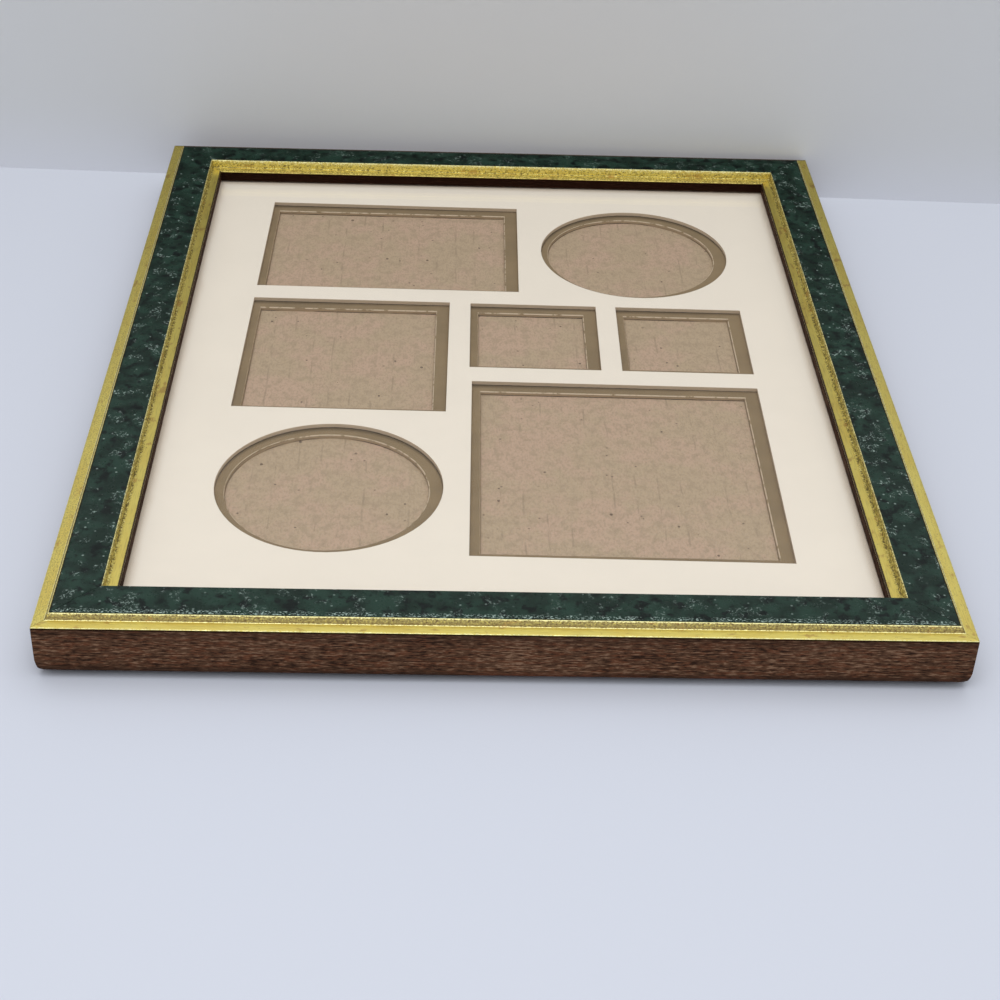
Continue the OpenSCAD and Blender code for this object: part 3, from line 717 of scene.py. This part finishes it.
class Section:
    """Places in a rail's section, from the CAD nodes' boxes. x runs inwards, z up from the back."""

    def __init__(self, sizes):
        rail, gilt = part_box("rail_left"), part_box("outer_gilt_left")
        marble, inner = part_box("marble_left"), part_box("inner_gilt_left")
        edge, self.back = rail[0].x, rail[0].z
        self.width = rail[1].x - edge
        self.facing = sizes.facing_t
        self.ledge_x = sizes.outer_ledge_w
        self.band_x = gilt[1].x - edge
        self.slope_z = gilt[1].z - self.back
        self.side_z = self.slope_z - sizes.slope_h
        self.band_z = inner[1].z - self.back
        self.crown = marble[1].z - inner[1].z
        self.step_x = self.width - sizes.inner_ledge_w
        self.ledge_z = inner[0].z - self.back + self.facing
        self.rebate_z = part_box("glass")[1].z - self.back
        self.sizes = sizes

    def band_top(self):
        """Top of the marbled band from its outer edge to the step, domed over the outer shoulder."""
        step_x, reach, lip = self.step_x - self.facing, self.sizes.shoulder_w, self.sizes.foil_edge
        foot_x, foot_z, climb = self.band_x + 0.1 * lip, self.slope_z + lip, self.band_z - self.slope_z - lip
        points = [(self.band_x, self.slope_z)]
        for share in (0, 0.04, 0.09, 0.15, 0.22, 0.3, 0.4, 0.52, 0.66, 0.82, 1):
            rise = 1 - (1 - share) ** 2.6
            points.append((foot_x + reach * share, foot_z + climb * rise))
        start = points[-1][0]
        for i in range(1, 11):
            share = i / 10
            height = self.band_z + 4 * self.crown * share * (1 - share)
            points.append((start + (step_x - start) * share, height))
        return points

    def core(self, side):
        """Brown core. Step marks the dark line under the gilt and the painted shade on the lip's face, full
        on the far rail, and edge marks the rubbed foot.
        """
        s, t, r = self.sizes, self.facing, self.sizes.foot_r
        # The lip's step mark paints its face dark as shade, more on the far rail
        lip = 1.0 if side == "top" else 0.7
        small, back = s.crease_r, s.back_hollow
        top, ledge = self.side_z - t, self.ledge_z - t
        points = [Spot(x, z, wear=0.4, edge=1) for x, z in arc(r, r, r, 270, 180, 8)]
        points += [Spot(0, z, wear=0.15) for z in (2.2 * r, 4 * r, self.side_z / 2, top - 5 * small)]
        points += spots((0, top - 2 * small, 1, 0.15), (0, top, 1, 0.3), (small, top), (self.ledge_x, top))
        points += [Spot(x, z - t) for x, z in self.band_top()]
        points += spots(
            (self.step_x - t, ledge),
            (self.width - small, ledge),
            (self.width, ledge - small, 1, 0.2),
            (self.width, ledge - 4 * small, lip),
            (self.width, self.rebate_z + 2 * small, lip, 0.1),
            (self.width, self.rebate_z + small, lip),
            (self.width - small, self.rebate_z),
            (s.rail_back_w, self.rebate_z),
            (s.rail_back_w, small),
            (s.rail_back_w - small, back),
            (s.rail_back_w / 2, back),
        )
        return points

    def marble(self, side):
        """Marbled band. Step marks the crazing and its painted glint over the shoulder, full on the near
        rail, and edge faint flecks.
        """
        crazing_and_glint = 1 if side == "bottom" else 0.3
        faint = {"top": 0.5, "bottom": 0.35}.get(side, 0.0)
        small, reach = 0.5 * self.sizes.crease_r, self.sizes.shoulder_w
        band = self.band_top()
        step_x = band[-1][0]
        points = []
        for x, z in band[:-1]:
            wear = 0.3 if x < self.band_x + 0.3 * reach else 0.05
            points.append(Spot(x, z, crazing_and_glint * max(0.0, 1 - (x - self.band_x) / reach), wear, faint))
        points += spots((step_x - small, self.band_z, 0, 0.3, faint), (step_x, self.band_z - small, 0, 0.4))
        return points + [Spot(x, z - self.facing) for x, z in reversed(band)]

    def outer_gilt(self, side):
        """Flat outer ledge and rough slope. Edge marks painted highlights at the creases, turned to painted
        shade on the far rail, and painted shade in the groove.
        """
        s, t, small = self.sizes, self.facing, self.sizes.crease_r
        # Shine sets the painted highlight at the creases, turned to painted shade on the far rail. Dull gives
        # the ledge's flats some dull crumbs, a painted shade that differs by rail.
        shine = -0.8 if side == "top" else 1
        dull = {"bottom": 0.0, "left": 0.32}.get(side, 0.24)
        rise, run = self.slope_z + s.ridge_h - self.side_z, self.band_x - s.groove_w - self.ledge_x
        points = spots(
            (0, self.side_z - t, 0, 0.6),
            (0, self.side_z - 1.6 * small, 0, 0.6, shine),
            (0.5 * small, self.side_z - small, 0, 0.3, shine),
        )
        for share in (0.2, 0.4, 0.6, 0.8, 1):
            sink = 0.6 * small * (1 - share) ** 2
            shown = min(0, shine) if share < 0.3 else 0
            points.append(Spot(0.6 * self.ledge_x * share, self.side_z - sink, dull, edge=shown))
        points += spots(
            (self.ledge_x - 2.5 * small, self.side_z, dull),
            (self.ledge_x - small, self.side_z, 0.2, 0.2, 1),
            (self.ledge_x, self.side_z + 0.3 * small, 0.8, 0.5, 0.8),
        )
        for i in range(1, 9):
            share = i / 10
            shown = 0.45 * shine if i == 8 else 0
            points.append(Spot(self.ledge_x + run * share, self.side_z + rise * share, 1, 1, shown))
        peak_x, peak_z = self.ledge_x + run, self.side_z + rise
        points += spots(
            (peak_x - 0.8 * small, peak_z - 0.8 * small, 0.7, 0.9, shine),
            (peak_x - 0.2 * small, peak_z - 0.1 * small, 0.6, 0.9, shine),
            (peak_x + 0.7 * small, peak_z, 0.5, 0.7, 0.9 * shine),
            (peak_x + 0.6 * s.groove_w, self.slope_z, 1, 0.3, -0.8),
            (self.band_x - 0.2 * s.groove_w, self.slope_z - 0.4 * t, 1, 0, -1),
            (self.band_x, self.slope_z - 0.4 * t, 1, 0, -1),
            (self.band_x, self.slope_z - t),
            (self.ledge_x, self.side_z - t),
        )
        return points

    def inner_gilt(self, side):
        """Rough step down from the band, and flat ledge to the lip. On the far rail the step's upper part
        carries a painted highlight, the ledge is painted duller as shade with a faint painted glint, and its
        inner edge a pale painted highlight; on the other rails that edge carries painted shade.
        """
        t, small = self.facing, self.sizes.crease_r
        fall = self.band_z - self.ledge_z - t
        rough, ledge, glint, worn = (0.42, 0.52, 0.28, 0.3) if side == "top" else (1.0, 0.0, 0.0, -0.9)
        points = spots(
            (self.step_x - t, self.ledge_z - t),
            (self.step_x - t, self.band_z - small, 0.6, 0.3, 0.7),
            (self.step_x - 0.5 * t, self.band_z - 0.5 * t, 0.7, 0.6, 0.9),
        )
        for i in range(10):
            # On the far rail the step face's upper part carries a painted highlight
            shine = max(0, 0.75 - 0.12 * i) if side == "top" else 0
            height = self.band_z - t - fall * (i + 0.3) / 10
            points.append(Spot(self.step_x - 0.02 * t, height, rough, 1, shine))
        points += spots(
            (self.step_x + 0.5 * small, self.ledge_z, 0.9, 0.6),
            (self.step_x + 4 * small, self.ledge_z, 0.5 * rough, 0, glint),
            (self.step_x + 10 * small, self.ledge_z, 0.1 + ledge, 0, glint),
            ((self.step_x + self.width) / 2, self.ledge_z, ledge, 0, glint),
            (self.width - 5 * small, self.ledge_z, ledge, 0.3, glint - 0.02),
            (self.width - 3.2 * small, self.ledge_z, 0.4, 0.8, 0.5 * worn),
            (self.width - small, self.ledge_z, 0.6, 0.8, worn),
            (self.width, self.ledge_z - small, 0.6, 0.9, worn),
            (self.width, self.ledge_z - t, 0, 0.3),
        )
        return points


class Spot:
    """Point of a section: its place, roughness of the step, wear, and edge, which on the gilt is a painted
    highlight where positive and painted shade where negative, and on the wood the rubbed foot.
    """

    def __init__(self, x, z, step=0.0, wear=0.0, edge=0.0):
        self.x, self.z, self.step, self.wear, self.edge = x, z, step, wear, edge


def spots(*rows):
    return [Spot(*row) for row in rows]


def section_mesh(name, points):
    """Closed outline of a section in the XY plane, with its step, wear and edge on the points."""
    mesh = bpy.data.meshes.new(name)
    count = len(points)
    mesh.from_pydata([(p.x, p.z, 0) for p in points], [(i, (i + 1) % count) for i in range(count)], [])
    for label in ("step", "wear", "edge"):
        layer = mesh.attributes.new(label, "FLOAT", "POINT")
        layer.data.foreach_set("value", [float(getattr(p, label)) for p in points])
    return mesh


def tree_with(name, inputs):
    """New geometry node tree, and its inputs by name: a geometry and the given ones."""
    tree = bpy.data.node_groups.new(name, "GeometryNodeTree")
    for label, kind in (("Geometry", "Geometry"), *inputs):
        tree.interface.new_socket(label, in_out="INPUT", socket_type="NodeSocket" + kind)
    tree.interface.new_socket("Geometry", in_out="OUTPUT", socket_type="NodeSocketGeometry")
    return tree, {socket.name: Wire(socket) for socket in put(tree, "NodeGroupInput").outputs}


def end_tree(tree, shape, material):
    """Ends a geometry node tree in one plain mesh of one material."""
    plain = wire(tree, "GeometryNodeRealizeInstances", {0: shape})
    done = wire(tree, "GeometryNodeSetMaterial", {"Geometry": plain, "Material": material})
    put(tree, "NodeGroupOutput", {0: done})
    return tree


def strip_tree():
    """Sweeps a section along one side of the frame, mitres its ends, wears it and turns it to its side."""
    tree, given = tree_with(
        "Mitred strip",
        (
            ("Length", "Float"), ("Steps", "Int"), ("Mitre gap", "Float"),
            ("Grit", "Float"), ("Grit size", "Float"), ("Wander", "Float"),
            ("Corner wear", "Float"), ("Corner reach", "Float"), ("Corner height", "Float"),
            ("Seed", "Float"), ("Turn", "Vector"), ("Place", "Vector"), ("Finish", "Material"),
        ),
    )

    def position():
        return parts(wire(tree, "GeometryNodeInputPosition"))

    def vector(x, y, z):
        return wire(tree, "ShaderNodeCombineXYZ", {0: x, 1: y, 2: z})

    def noise_of(size, detail, shift):
        moved = wire(tree, "ShaderNodeVectorMath", {0: seeded, 1: (shift,) * 3}, operation="ADD")
        scale = sum_up(tree, "DIVIDE", 1.0, size)
        return wire(tree, "ShaderNodeTexNoise", {"Vector": moved, "Scale": scale, "Detail": detail}) - 0.5

    def carried(name):
        return wire(tree, "GeometryNodeInputNamedAttribute", {0: name}, data_type="FLOAT")

    profile = wire(tree, "GeometryNodeMeshToCurve", {0: given["Geometry"]})
    line = wire(tree, "GeometryNodeCurvePrimitiveLine", {"Start": (0, -0.5, 0), "End": (0, 0.5, 0)})
    line = wire(tree, "GeometryNodeResampleCurve", {"Curve": line, "Count": given["Steps"]})
    sweep = {"Curve": line, "Profile Curve": profile, "Fill Caps": True}
    shape = wire(tree, "GeometryNodeCurveToMesh", sweep)
    # The sweep lays the section's second axis along -Z: put it back to up
    inward, along, down = position()
    reach = given["Length"] - inward * 2.0 - given["Mitre gap"] * 2.0
    laid = vector(inward, along * reach, down * -1.0)
    shape = wire(tree, "GeometryNodeSetPosition", {"Geometry": shape, "Position": laid})

    x, y, z = position()
    seeded = vector(y + given["Seed"], x, z)
    kept = {"Geometry": shape, "Name": "strip", "Value": seeded}
    shape = wire(tree, "GeometryNodeStoreNamedAttribute", kept, data_type="FLOAT_VECTOR", domain="POINT")

    grit = (noise_of(given["Grit size"], 3.0, 0.3) * given["Grit"] * carried("step") * 2.0).least(0.0)
    wander = abs(noise_of(1.3 * MM, 2.0, 0.7) * given["Wander"] * carried("wear")) * -2.0
    normal = wire(tree, "GeometryNodeInputNormal")
    shift = wire(tree, "ShaderNodeVectorMath", {0: normal, "Scale": grit + wander}, operation="SCALE")
    shape = wire(tree, "GeometryNodeSetPosition", {"Geometry": shape, "Offset": shift})

    # Corners of the foot are worn back, inwards and along the rail
    x, y, z = position()
    far = given["Length"].times_plus(0.5, given["Corner reach"] * -1.0)
    to_end = (abs(y) - far).math("DIVIDE", given["Corner reach"], clamp=True)
    low = sum_up(tree, "SUBTRACT", 1.0, z / given["Corner height"], clamp=True)
    outward = sum_up(tree, "SUBTRACT", 1.0, x / given["Corner reach"], clamp=True)
    back = to_end ** 2.0 * low ** 2.0 * outward * given["Corner wear"]
    shift = vector(back, y.math("SIGN") * (back * -1.0), 0.0)
    shape = wire(tree, "GeometryNodeSetPosition", {"Geometry": shape, "Offset": shift})

    place = {"Geometry": shape, "Translation": given["Place"], "Rotation": given["Turn"]}
    return end_tree(tree, wire(tree, "GeometryNodeTransform", place), given["Finish"])


def run_tree(piece, tree, values):
    """Runs a geometry node tree on a piece and keeps the result as a plain mesh."""
    modifier = piece.modifiers.new(tree.name, "NODES")
    modifier.node_group = tree
    for item in tree.interface.items_tree:
        if item.in_out == "INPUT" and item.name in values:
            modifier[item.identifier] = values[item.name]
    piece.update_tag()
    graph = bpy.context.evaluated_depsgraph_get()
    run = piece.evaluated_get(graph)
    mesh = bpy.data.meshes.new_from_object(run, preserve_all_data_layers=True, depsgraph=graph)
    piece.modifiers.remove(modifier)
    piece.data = mesh
    return mesh


def strip(tree, scene, kind, side, points, slot, material, steps, grit_size):
    """One mitred strip of the moulding, in the place of its CAD node."""
    sizes, section = scene.moulding_sizes, Section(scene.moulding_sizes)
    half_w, half_h = CAD_BOX[1].x, CAD_BOX[1].y
    quarter = SIDES.index(side)
    place = [(-half_w, 0), (0, -half_h), (half_w, 0), (0, half_h)][quarter]
    node = kind + "_" + side
    piece = new_object(node + "_dressed", section_mesh(node, points))
    mesh = run_tree(
        piece,
        tree,
        {
            "Length": 2 * (half_h if quarter % 2 == 0 else half_w),
            "Steps": steps,
            "Mitre gap": sizes.mitre_gap,
            "Grit": sizes.grit_depth,
            "Grit size": grit_size,
            "Wander": sizes.edge_wander,
            "Corner wear": sizes.corner_wear,
            "Corner reach": sizes.corner_reach,
            "Corner height": sizes.corner_height,
            "Seed": 0.7 * quarter,
            "Turn": (0.0, 0.0, math.radians(90 * quarter)),
            "Place": (*place, section.back),
            "Finish": material,
        },
    )
    for face in mesh.polygons:
        face.use_smooth = True
    mesh.set_sharp_from_angle(angle=math.radians(35))
    hand_over(piece, "frame", slot, node)
    return piece


class Build:
    """Shared settings of the operators."""

    bl_options = {"REGISTER", "UNDO"}

    @staticmethod
    def checked(pieces):
        if not pieces or any(len(p.data.polygons) == 0 for p in pieces):
            raise RuntimeError("a piece came out empty")
        return {"FINISHED"}


class PHOTOFRAME_OT_rails(Build, bpy.types.Operator):
    """Make the four brown rails"""

    bl_idname = "photo_frame.rails"
    bl_label = "Rails"

    def execute(self, context):
        scene, tree = context.scene, strip_tree()
        section, wood = Section(scene.moulding_sizes), finishes(scene)["wood"]
        slot, steps, grit = "brown_wood_wrap", 180, 3 * MM
        made = [strip(tree, scene, "rail", s, section.core(s), slot, wood, steps, grit) for s in SIDES]
        return self.checked(made)


class PHOTOFRAME_OT_marble(Build, bpy.types.Operator):
    """Make the four marbled facings"""

    bl_idname = "photo_frame.marble"
    bl_label = "Marbled facings"

    def execute(self, context):
        scene, tree = context.scene, bpy.data.node_groups["Mitred strip"]
        section, foil = Section(scene.moulding_sizes), finishes(scene)["marble"]
        slot, steps, grit = "green_marbled_foil", 500, 0.9 * MM
        made = [strip(tree, scene, "marble", s, section.marble(s), slot, foil, steps, grit) for s in SIDES]
        return self.checked(made)


class PHOTOFRAME_OT_gilt(Build, bpy.types.Operator):
    """Make the outer and inner gilt edges"""

    bl_idname = "photo_frame.gilt"
    bl_label = "Gilt edges"

    def execute(self, context):
        scene, tree = context.scene, bpy.data.node_groups["Mitred strip"]
        section, gilt = Section(scene.moulding_sizes), finishes(scene)["gilt"]
        made = []
        slot, steps, grit = "gilt_foil", 900, 0.8 * MM
        for s in SIDES:
            made.append(strip(tree, scene, "outer_gilt", s, section.outer_gilt(s), slot, gilt, steps, grit))
            made.append(strip(tree, scene, "inner_gilt", s, section.inner_gilt(s), slot, gilt, steps, grit))
        return self.checked(made)


# Sheets


class PHOTOFRAME_OT_glass(Build, bpy.types.Operator):
    """Make the sheet of glass"""

    bl_idname = "photo_frame.glass"
    bl_label = "Glass"

    def execute(self, context):
        scene = context.scene
        edge = scene.sheet_sizes.glass_edge
        pane = softened("glass", "frame", "clear_glass", edge, 2, [finishes(scene)["glass"]])
        # The pane's back is held a hair off the mat, so that the two faces don't flicker
        for point in pane.data.vertices:
            if point.co.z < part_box("glass")[0].z + 0.2 * edge:
                point.co.z += 0.1 * edge
        return self.checked([pane])


class PHOTOFRAME_OT_mats(Build, bpy.types.Operator):
    """Make the top mat and the under mat"""

    bl_idname = "photo_frame.mats"
    bl_label = "Mats"

    def execute(self, context):
        scene = context.scene
        sizes, looks = scene.sheet_sizes, finishes(scene)

        def top_edge(node):
            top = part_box(node)[1].z
            return lambda edge: all(v.co.z > top - 0.01 * MM for v in edge.verts)

        def pick(face, rounded):
            if rounded:
                return 1
            return 0 if abs(face.normal.z) > 0.9 else 2

        top = softened(
            "top_mat", "frame", "cream_mat_board", sizes.top_mat_edge, 2,
            [looks["mat"], looks["mat"], looks["mat_core"]], pick, top_edge("top_mat"),
        )
        under = softened(
            "under_mat", "frame", "olive_mat_board", sizes.under_mat_edge, 2,
            [looks["under"], looks["under_edge"], looks["under_core"]], pick, top_edge("under_mat"),
        )
        return self.checked([top, under])


class PHOTOFRAME_OT_board(Build, bpy.types.Operator):
    """Make the corrugated board and the back panel"""

    bl_idname = "photo_frame.board"
    bl_label = "Board and back panel"

    def execute(self, context):
        scene = context.scene
        sizes, looks = scene.sheet_sizes, finishes(scene)
        made = [
            softened(n, "frame", "kraft_paper", sizes.board_edge, 1, [looks["kraft"]])
            for n in ("front_liner", "rear_liner")
        ]
        made.append(softened("back_panel", "frame", "hardboard", sizes.panel_edge, 3, [looks["panel"]]))
        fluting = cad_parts["fluting"]
        fluting.data.materials.clear()
        fluting.data.materials.append(looks["kraft"])
        return self.checked(made)


# Hardware


class PHOTOFRAME_OT_buttons(Build, bpy.types.Operator):
    """Make the four turn buttons"""

    bl_idname = "photo_frame.buttons"
    bl_label = "Turn buttons"

    def execute(self, context):
        scene = context.scene
        edge, zinc = scene.hardware_sizes.button_edge, finishes(scene)["zinc"]
        return self.checked([softened(n, n, "zinc_plated_strip", edge, 3, [zinc]) for n in BUTTONS])


class PHOTOFRAME_OT_hanger(Build, bpy.types.Operator):
    """Make the sawtooth hanger"""

    bl_idname = "photo_frame.hanger"
    bl_label = "Hanger"

    def execute(self, context):
        scene = context.scene
        edge, zinc = scene.hardware_sizes.hanger_edge, finishes(scene)["zinc"]
        return self.checked([softened("hanger", "frame", "zinc_plated_strip", edge, 2, [zinc])])


def scatter_tree():
    """Sets a copy of one fastener on each point of a mesh, turned about Z by a random share of an angle."""
    tree, given = tree_with(
        "Fasteners on points",
        (("Fastener", "Object"), ("Random turn", "Float"), ("Seed", "Int"), ("Finish", "Material")),
    )
    points = wire(tree, "GeometryNodeMeshToPoints", {0: given["Geometry"]})
    fastener = {"Object": given["Fastener"], "As Instance": True}
    shape = wire(tree, "GeometryNodeObjectInfo", fastener, "Geometry")
    chance = wire(tree, "FunctionNodeRandomValue", {"Seed": given["Seed"]}, 1, data_type="FLOAT")
    turn = wire(tree, "ShaderNodeCombineXYZ", {2: chance * given["Random turn"]})
    copies = {"Points": points, "Instance": shape, "Rotation": turn}
    return end_tree(tree, wire(tree, "GeometryNodeInstanceOnPoints", copies), given["Finish"])


def on_points(name, places, fastener, scene, finish_name, slot, random_turn):
    """Copies of one fastener at some places, in the place of the CAD node of that name."""
    mesh = bpy.data.meshes.new(name)
    mesh.from_pydata(places, [], [])
    piece = new_object(name + "_dressed", mesh)
    tree = bpy.data.node_groups.get("Fasteners on points") or scatter_tree()
    made = run_tree(
        piece,
        tree,
        {
            "Fastener": fastener,
            "Random turn": random_turn,
            "Seed": scene.hardware_sizes.screw_seed,
            "Finish": finishes(scene)[finish_name],
        },
    )
    for face in made.polygons:
        face.use_smooth = True
    made.set_sharp_from_angle(angle=math.radians(32))
    bpy.data.objects.remove(fastener)
    hand_over(piece, "frame", slot, name)
    return piece


def lathe(name, outline, sides=40):
    """Solid turned about Z from an outline of (radius, height) that starts and ends on the axis."""
    shell = bmesh.new()
    verts = [shell.verts.new((r, 0, z)) for r, z in outline]
    edges = [shell.edges.new(pair) for pair in zip(verts, verts[1:])]
    bmesh.ops.spin(
        shell,
        geom=verts + edges,
        cent=(0, 0, 0),
        axis=(0, 0, 1),
        angle=2 * math.pi,
        steps=sides,
        use_merge=True,
    )
    bmesh.ops.remove_doubles(shell, verts=shell.verts, dist=0.001 * MM)
    bmesh.ops.recalc_face_normals(shell, faces=shell.faces)
    mesh = bpy.data.meshes.new(name)
    shell.to_mesh(mesh)
    shell.free()
    return new_object(name, mesh)


class PHOTOFRAME_OT_screws(Build, bpy.types.Operator):
    """Make the four slotted screws of the turn buttons"""

    bl_idname = "photo_frame.screws"
    bl_label = "Button screws"

    def execute(self, context):
        scene = context.scene
        sizes = scene.hardware_sizes
        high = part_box("button_screws")[1]
        right_low, right_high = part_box("button_right_upper")
        screw_x = right_high.x - (right_high.y - right_low.y) / 2
        screw_y = (right_low.y + right_high.y) / 2
        head_r, round_r = high.x - screw_x, sizes.head_round
        seat = right_low.z - 0.1 * MM
        shank_r = 1.5 * MM
        root_r = 0.78 * shank_r
        outline = [(0, 0), (head_r - round_r, 0)]
        for degrees in range(15, 91, 15):
            a = math.radians(degrees)
            outline.append((head_r - round_r + round_r * math.sin(a), round_r - round_r * math.cos(a)))
        outline += [(head_r, seat - 0.1 * MM), (head_r - 0.1 * MM, seat), (shank_r, seat)]
        # Thread above the seat: shallow rings that end in the point
        thread_top, pitch = high.z - 2.4 * MM, 1.1 * MM
        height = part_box("rail_left")[0].z + 0.5 * MM
        outline.append((shank_r, height))
        while height < thread_top:
            outline.append((shank_r, height + 0.15 * pitch))
            outline += [(root_r, height + 0.45 * pitch), (root_r, height + 0.75 * pitch)]
            height += pitch
        outline += [(shank_r, thread_top + 0.2 * pitch), (0, high.z)]
        screw = lathe("screw_shape", outline)
        slot = bpy.data.meshes.new("slot_shape")
        shell = bmesh.new()
        across = Matrix.Diagonal((3 * head_r, sizes.screw_slot_w, 2 * sizes.screw_slot_h, 1))
        bmesh.ops.create_cube(shell, size=1, matrix=across)
        shell.to_mesh(slot)
        shell.free()
        cutter = new_object("slot_shape", slot)
        cut = screw.modifiers.new("slot", "BOOLEAN")
        cut.object, cut.operation, cut.solver = cutter, "DIFFERENCE", "EXACT"
        graph = bpy.context.evaluated_depsgraph_get()
        mesh = bpy.data.meshes.new_from_object(screw.evaluated_get(graph), depsgraph=graph)
        screw.modifiers.remove(cut)
        screw.data = mesh
        bpy.data.objects.remove(cutter)
        places = [(x * screw_x, y * screw_y, 0) for x in (-1, 1) for y in (-1, 1)]
        screws = on_points("button_screws", places, screw, scene, "steel", "plain_steel", math.pi)
        return self.checked([screws])


class PHOTOFRAME_OT_nails(Build, bpy.types.Operator):
    """Make the eight corner nails and the hanger's two nails"""

    bl_idname = "photo_frame.nails"
    bl_label = "Corner nails and hanger nails"

    def execute(self, context):
        scene = context.scene
        steel = finishes(scene)["steel"]
        corner = softened("corner_nails", "frame", "plain_steel", 0.06 * MM, 1, [steel])
        low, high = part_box("hanger_nails")
        head_r, length_z = (high.y - low.y) / 2, high.z - low.z
        nail_x, nail_y = high.x - head_r, (low.y + high.y) / 2
        head_h, shank_r = 0.5 * MM, 0.6 * MM
        dome = ((0, 0), (0.55, 0.02), (0.85, 0.09), (0.97, 0.22))
        outline = [(reach * head_r, rise * head_r) for reach, rise in dome]
        outline += [(head_r, head_h - 0.05 * MM), (0.95 * head_r, head_h), (shank_r, head_h)]
        outline += [(shank_r, length_z - 1.6 * shank_r), (0, length_z)]
        nail = lathe("nail_shape", outline, 32)
        places = [(side * nail_x, nail_y, low.z) for side in (-1, 1)]
        hanger = on_points("hanger_nails", places, nail, scene, "steel", "plain_steel", 1.0)
        return self.checked([corner, hanger])


# Stage


def area_lamp(name, place, size, watts, tone):
    """Square lamp that points at the frame."""
    data = bpy.data.lights.new(name, "AREA")
    data.shape, data.size, data.energy, data.color = "SQUARE", size, watts, tone
    lamp = new_object(name, data)
    lamp.location = place
    lamp.rotation_euler = (-lamp.location).to_track_quat("-Z", "Y").to_euler()


def sheet_of(name, corners, material):
    """Four-cornered part of the stage."""
    mesh = bpy.data.meshes.new(name)
    mesh.from_pydata(corners, [], [(0, 1, 2, 3)])
    mesh.materials.append(material)
    new_object(name, mesh)


class PHOTOFRAME_OT_stage(Build, bpy.types.Operator):
    """Set the table, the backdrop, the light and the camera"""

    bl_idname = "photo_frame.stage"
    bl_label = "Stage, light and camera"

    def execute(self, context):
        scene = context.scene
        looks, shot = scene.frame_colours, scene.camera_sizes
        scene.view_settings.view_transform = "Standard"

        wide, far, tall = 3.0, shot.backdrop, 1.5
        left, right = far + wide * shot.backdrop_turn, far - wide * shot.backdrop_turn
        table = shaded(new_finish("pale_table")[0], looks.floor, 0.75)
        sheet_of("table", [(-wide, -wide, 0), (wide, -wide, 0), (wide, wide, 0), (-wide, wide, 0)], table)
        wall = [(-wide, left, 0), (wide, right, 0), (wide, right, tall), (-wide, left, tall)]
        sheet_of("backdrop", wall, backdrop_cloth(looks))

        world = bpy.data.worlds.new("soft_room")
        world.use_nodes = True
        room = world.node_tree.nodes["Background"]
        camera_ray, gloss, _ = rays(world.node_tree)
        fill(room.inputs["Color"], (0.97, 0.985, 1.0))
        fill(room.inputs["Strength"], between(camera_ray.most(gloss), shot.room_light, shot.room_seen))
        scene.world = world
        area_lamp("ceiling", place=(0.10, 0.05, 1.2), size=1.3, watts=4.8, tone=(1.0, 0.995, 0.985))
        area_lamp("front", place=(-0.11, -0.59, 0.87), size=0.75, watts=3.7, tone=(0.98, 0.99, 1.0))

        data = bpy.data.cameras.new("camera")
        camera = scene.camera = new_object("camera", data)
        data.sensor_width = 36.0
        data.lens = shot.focal_px * data.sensor_width
        data.clip_start, data.clip_end = 0.01, 20.0
        level = math.cos(shot.pitch)
        ahead = Vector((math.sin(shot.yaw) * level, math.cos(shot.yaw) * level, -math.sin(shot.pitch)))
        across = Vector((math.cos(shot.yaw), -math.sin(shot.yaw), 0))
        above = across.cross(ahead)
        rightward = math.cos(shot.roll) * across + math.sin(shot.roll) * above
        up = math.cos(shot.roll) * above - math.sin(shot.roll) * across
        turn = Matrix((rightward, up, -ahead)).transposed().to_4x4()
        base = Vector((0, 0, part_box("rail_left")[0].z))
        camera.matrix_world = Matrix.Translation(Vector(shot.place) + base) @ turn
        return {"FINISHED"}


class PHOTOFRAME_PT_panel(bpy.types.Panel):
    """Sizes, colours and steps of the photo frame"""

    bl_label = "Photo frame"
    bl_idname = "PHOTOFRAME_PT_panel"
    bl_space_type = "VIEW_3D"
    bl_region_type = "UI"
    bl_category = "Photo frame"

    def draw(self, context):
        column = self.layout.column()
        for step in STEPS:
            column.operator(step.bl_idname)
        for name in GROUPS:
            column.label(text=name.replace("_", " "))
            group = getattr(context.scene, name)
            for key in group.__annotations__:
                column.prop(group, key)


GROUPS = {
    "moulding_sizes": MouldingSizes,
    "sheet_sizes": SheetSizes,
    "hardware_sizes": HardwareSizes,
    "frame_colours": FrameColours,
    "camera_sizes": CameraSizes,
}
STEPS = (
    PHOTOFRAME_OT_stage,
    PHOTOFRAME_OT_rails,
    PHOTOFRAME_OT_marble,
    PHOTOFRAME_OT_gilt,
    PHOTOFRAME_OT_glass,
    PHOTOFRAME_OT_mats,
    PHOTOFRAME_OT_board,
    PHOTOFRAME_OT_buttons,
    PHOTOFRAME_OT_screws,
    PHOTOFRAME_OT_hanger,
    PHOTOFRAME_OT_nails,
)
CLASSES = (*GROUPS.values(), *STEPS, PHOTOFRAME_PT_panel)


def register():
    for made in CLASSES:
        bpy.utils.register_class(made)
    for name, group in GROUPS.items():
        setattr(bpy.types.Scene, name, PointerProperty(type=group))


def unregister():
    for name in GROUPS:
        delattr(bpy.types.Scene, name)
    for made in reversed(CLASSES):
        bpy.utils.unregister_class(made)


def main():
    register()
    for step in STEPS:
        group, action = step.bl_idname.split(".")
        getattr(getattr(bpy.ops, group), action)()


if __name__ == "__main__":
    main()
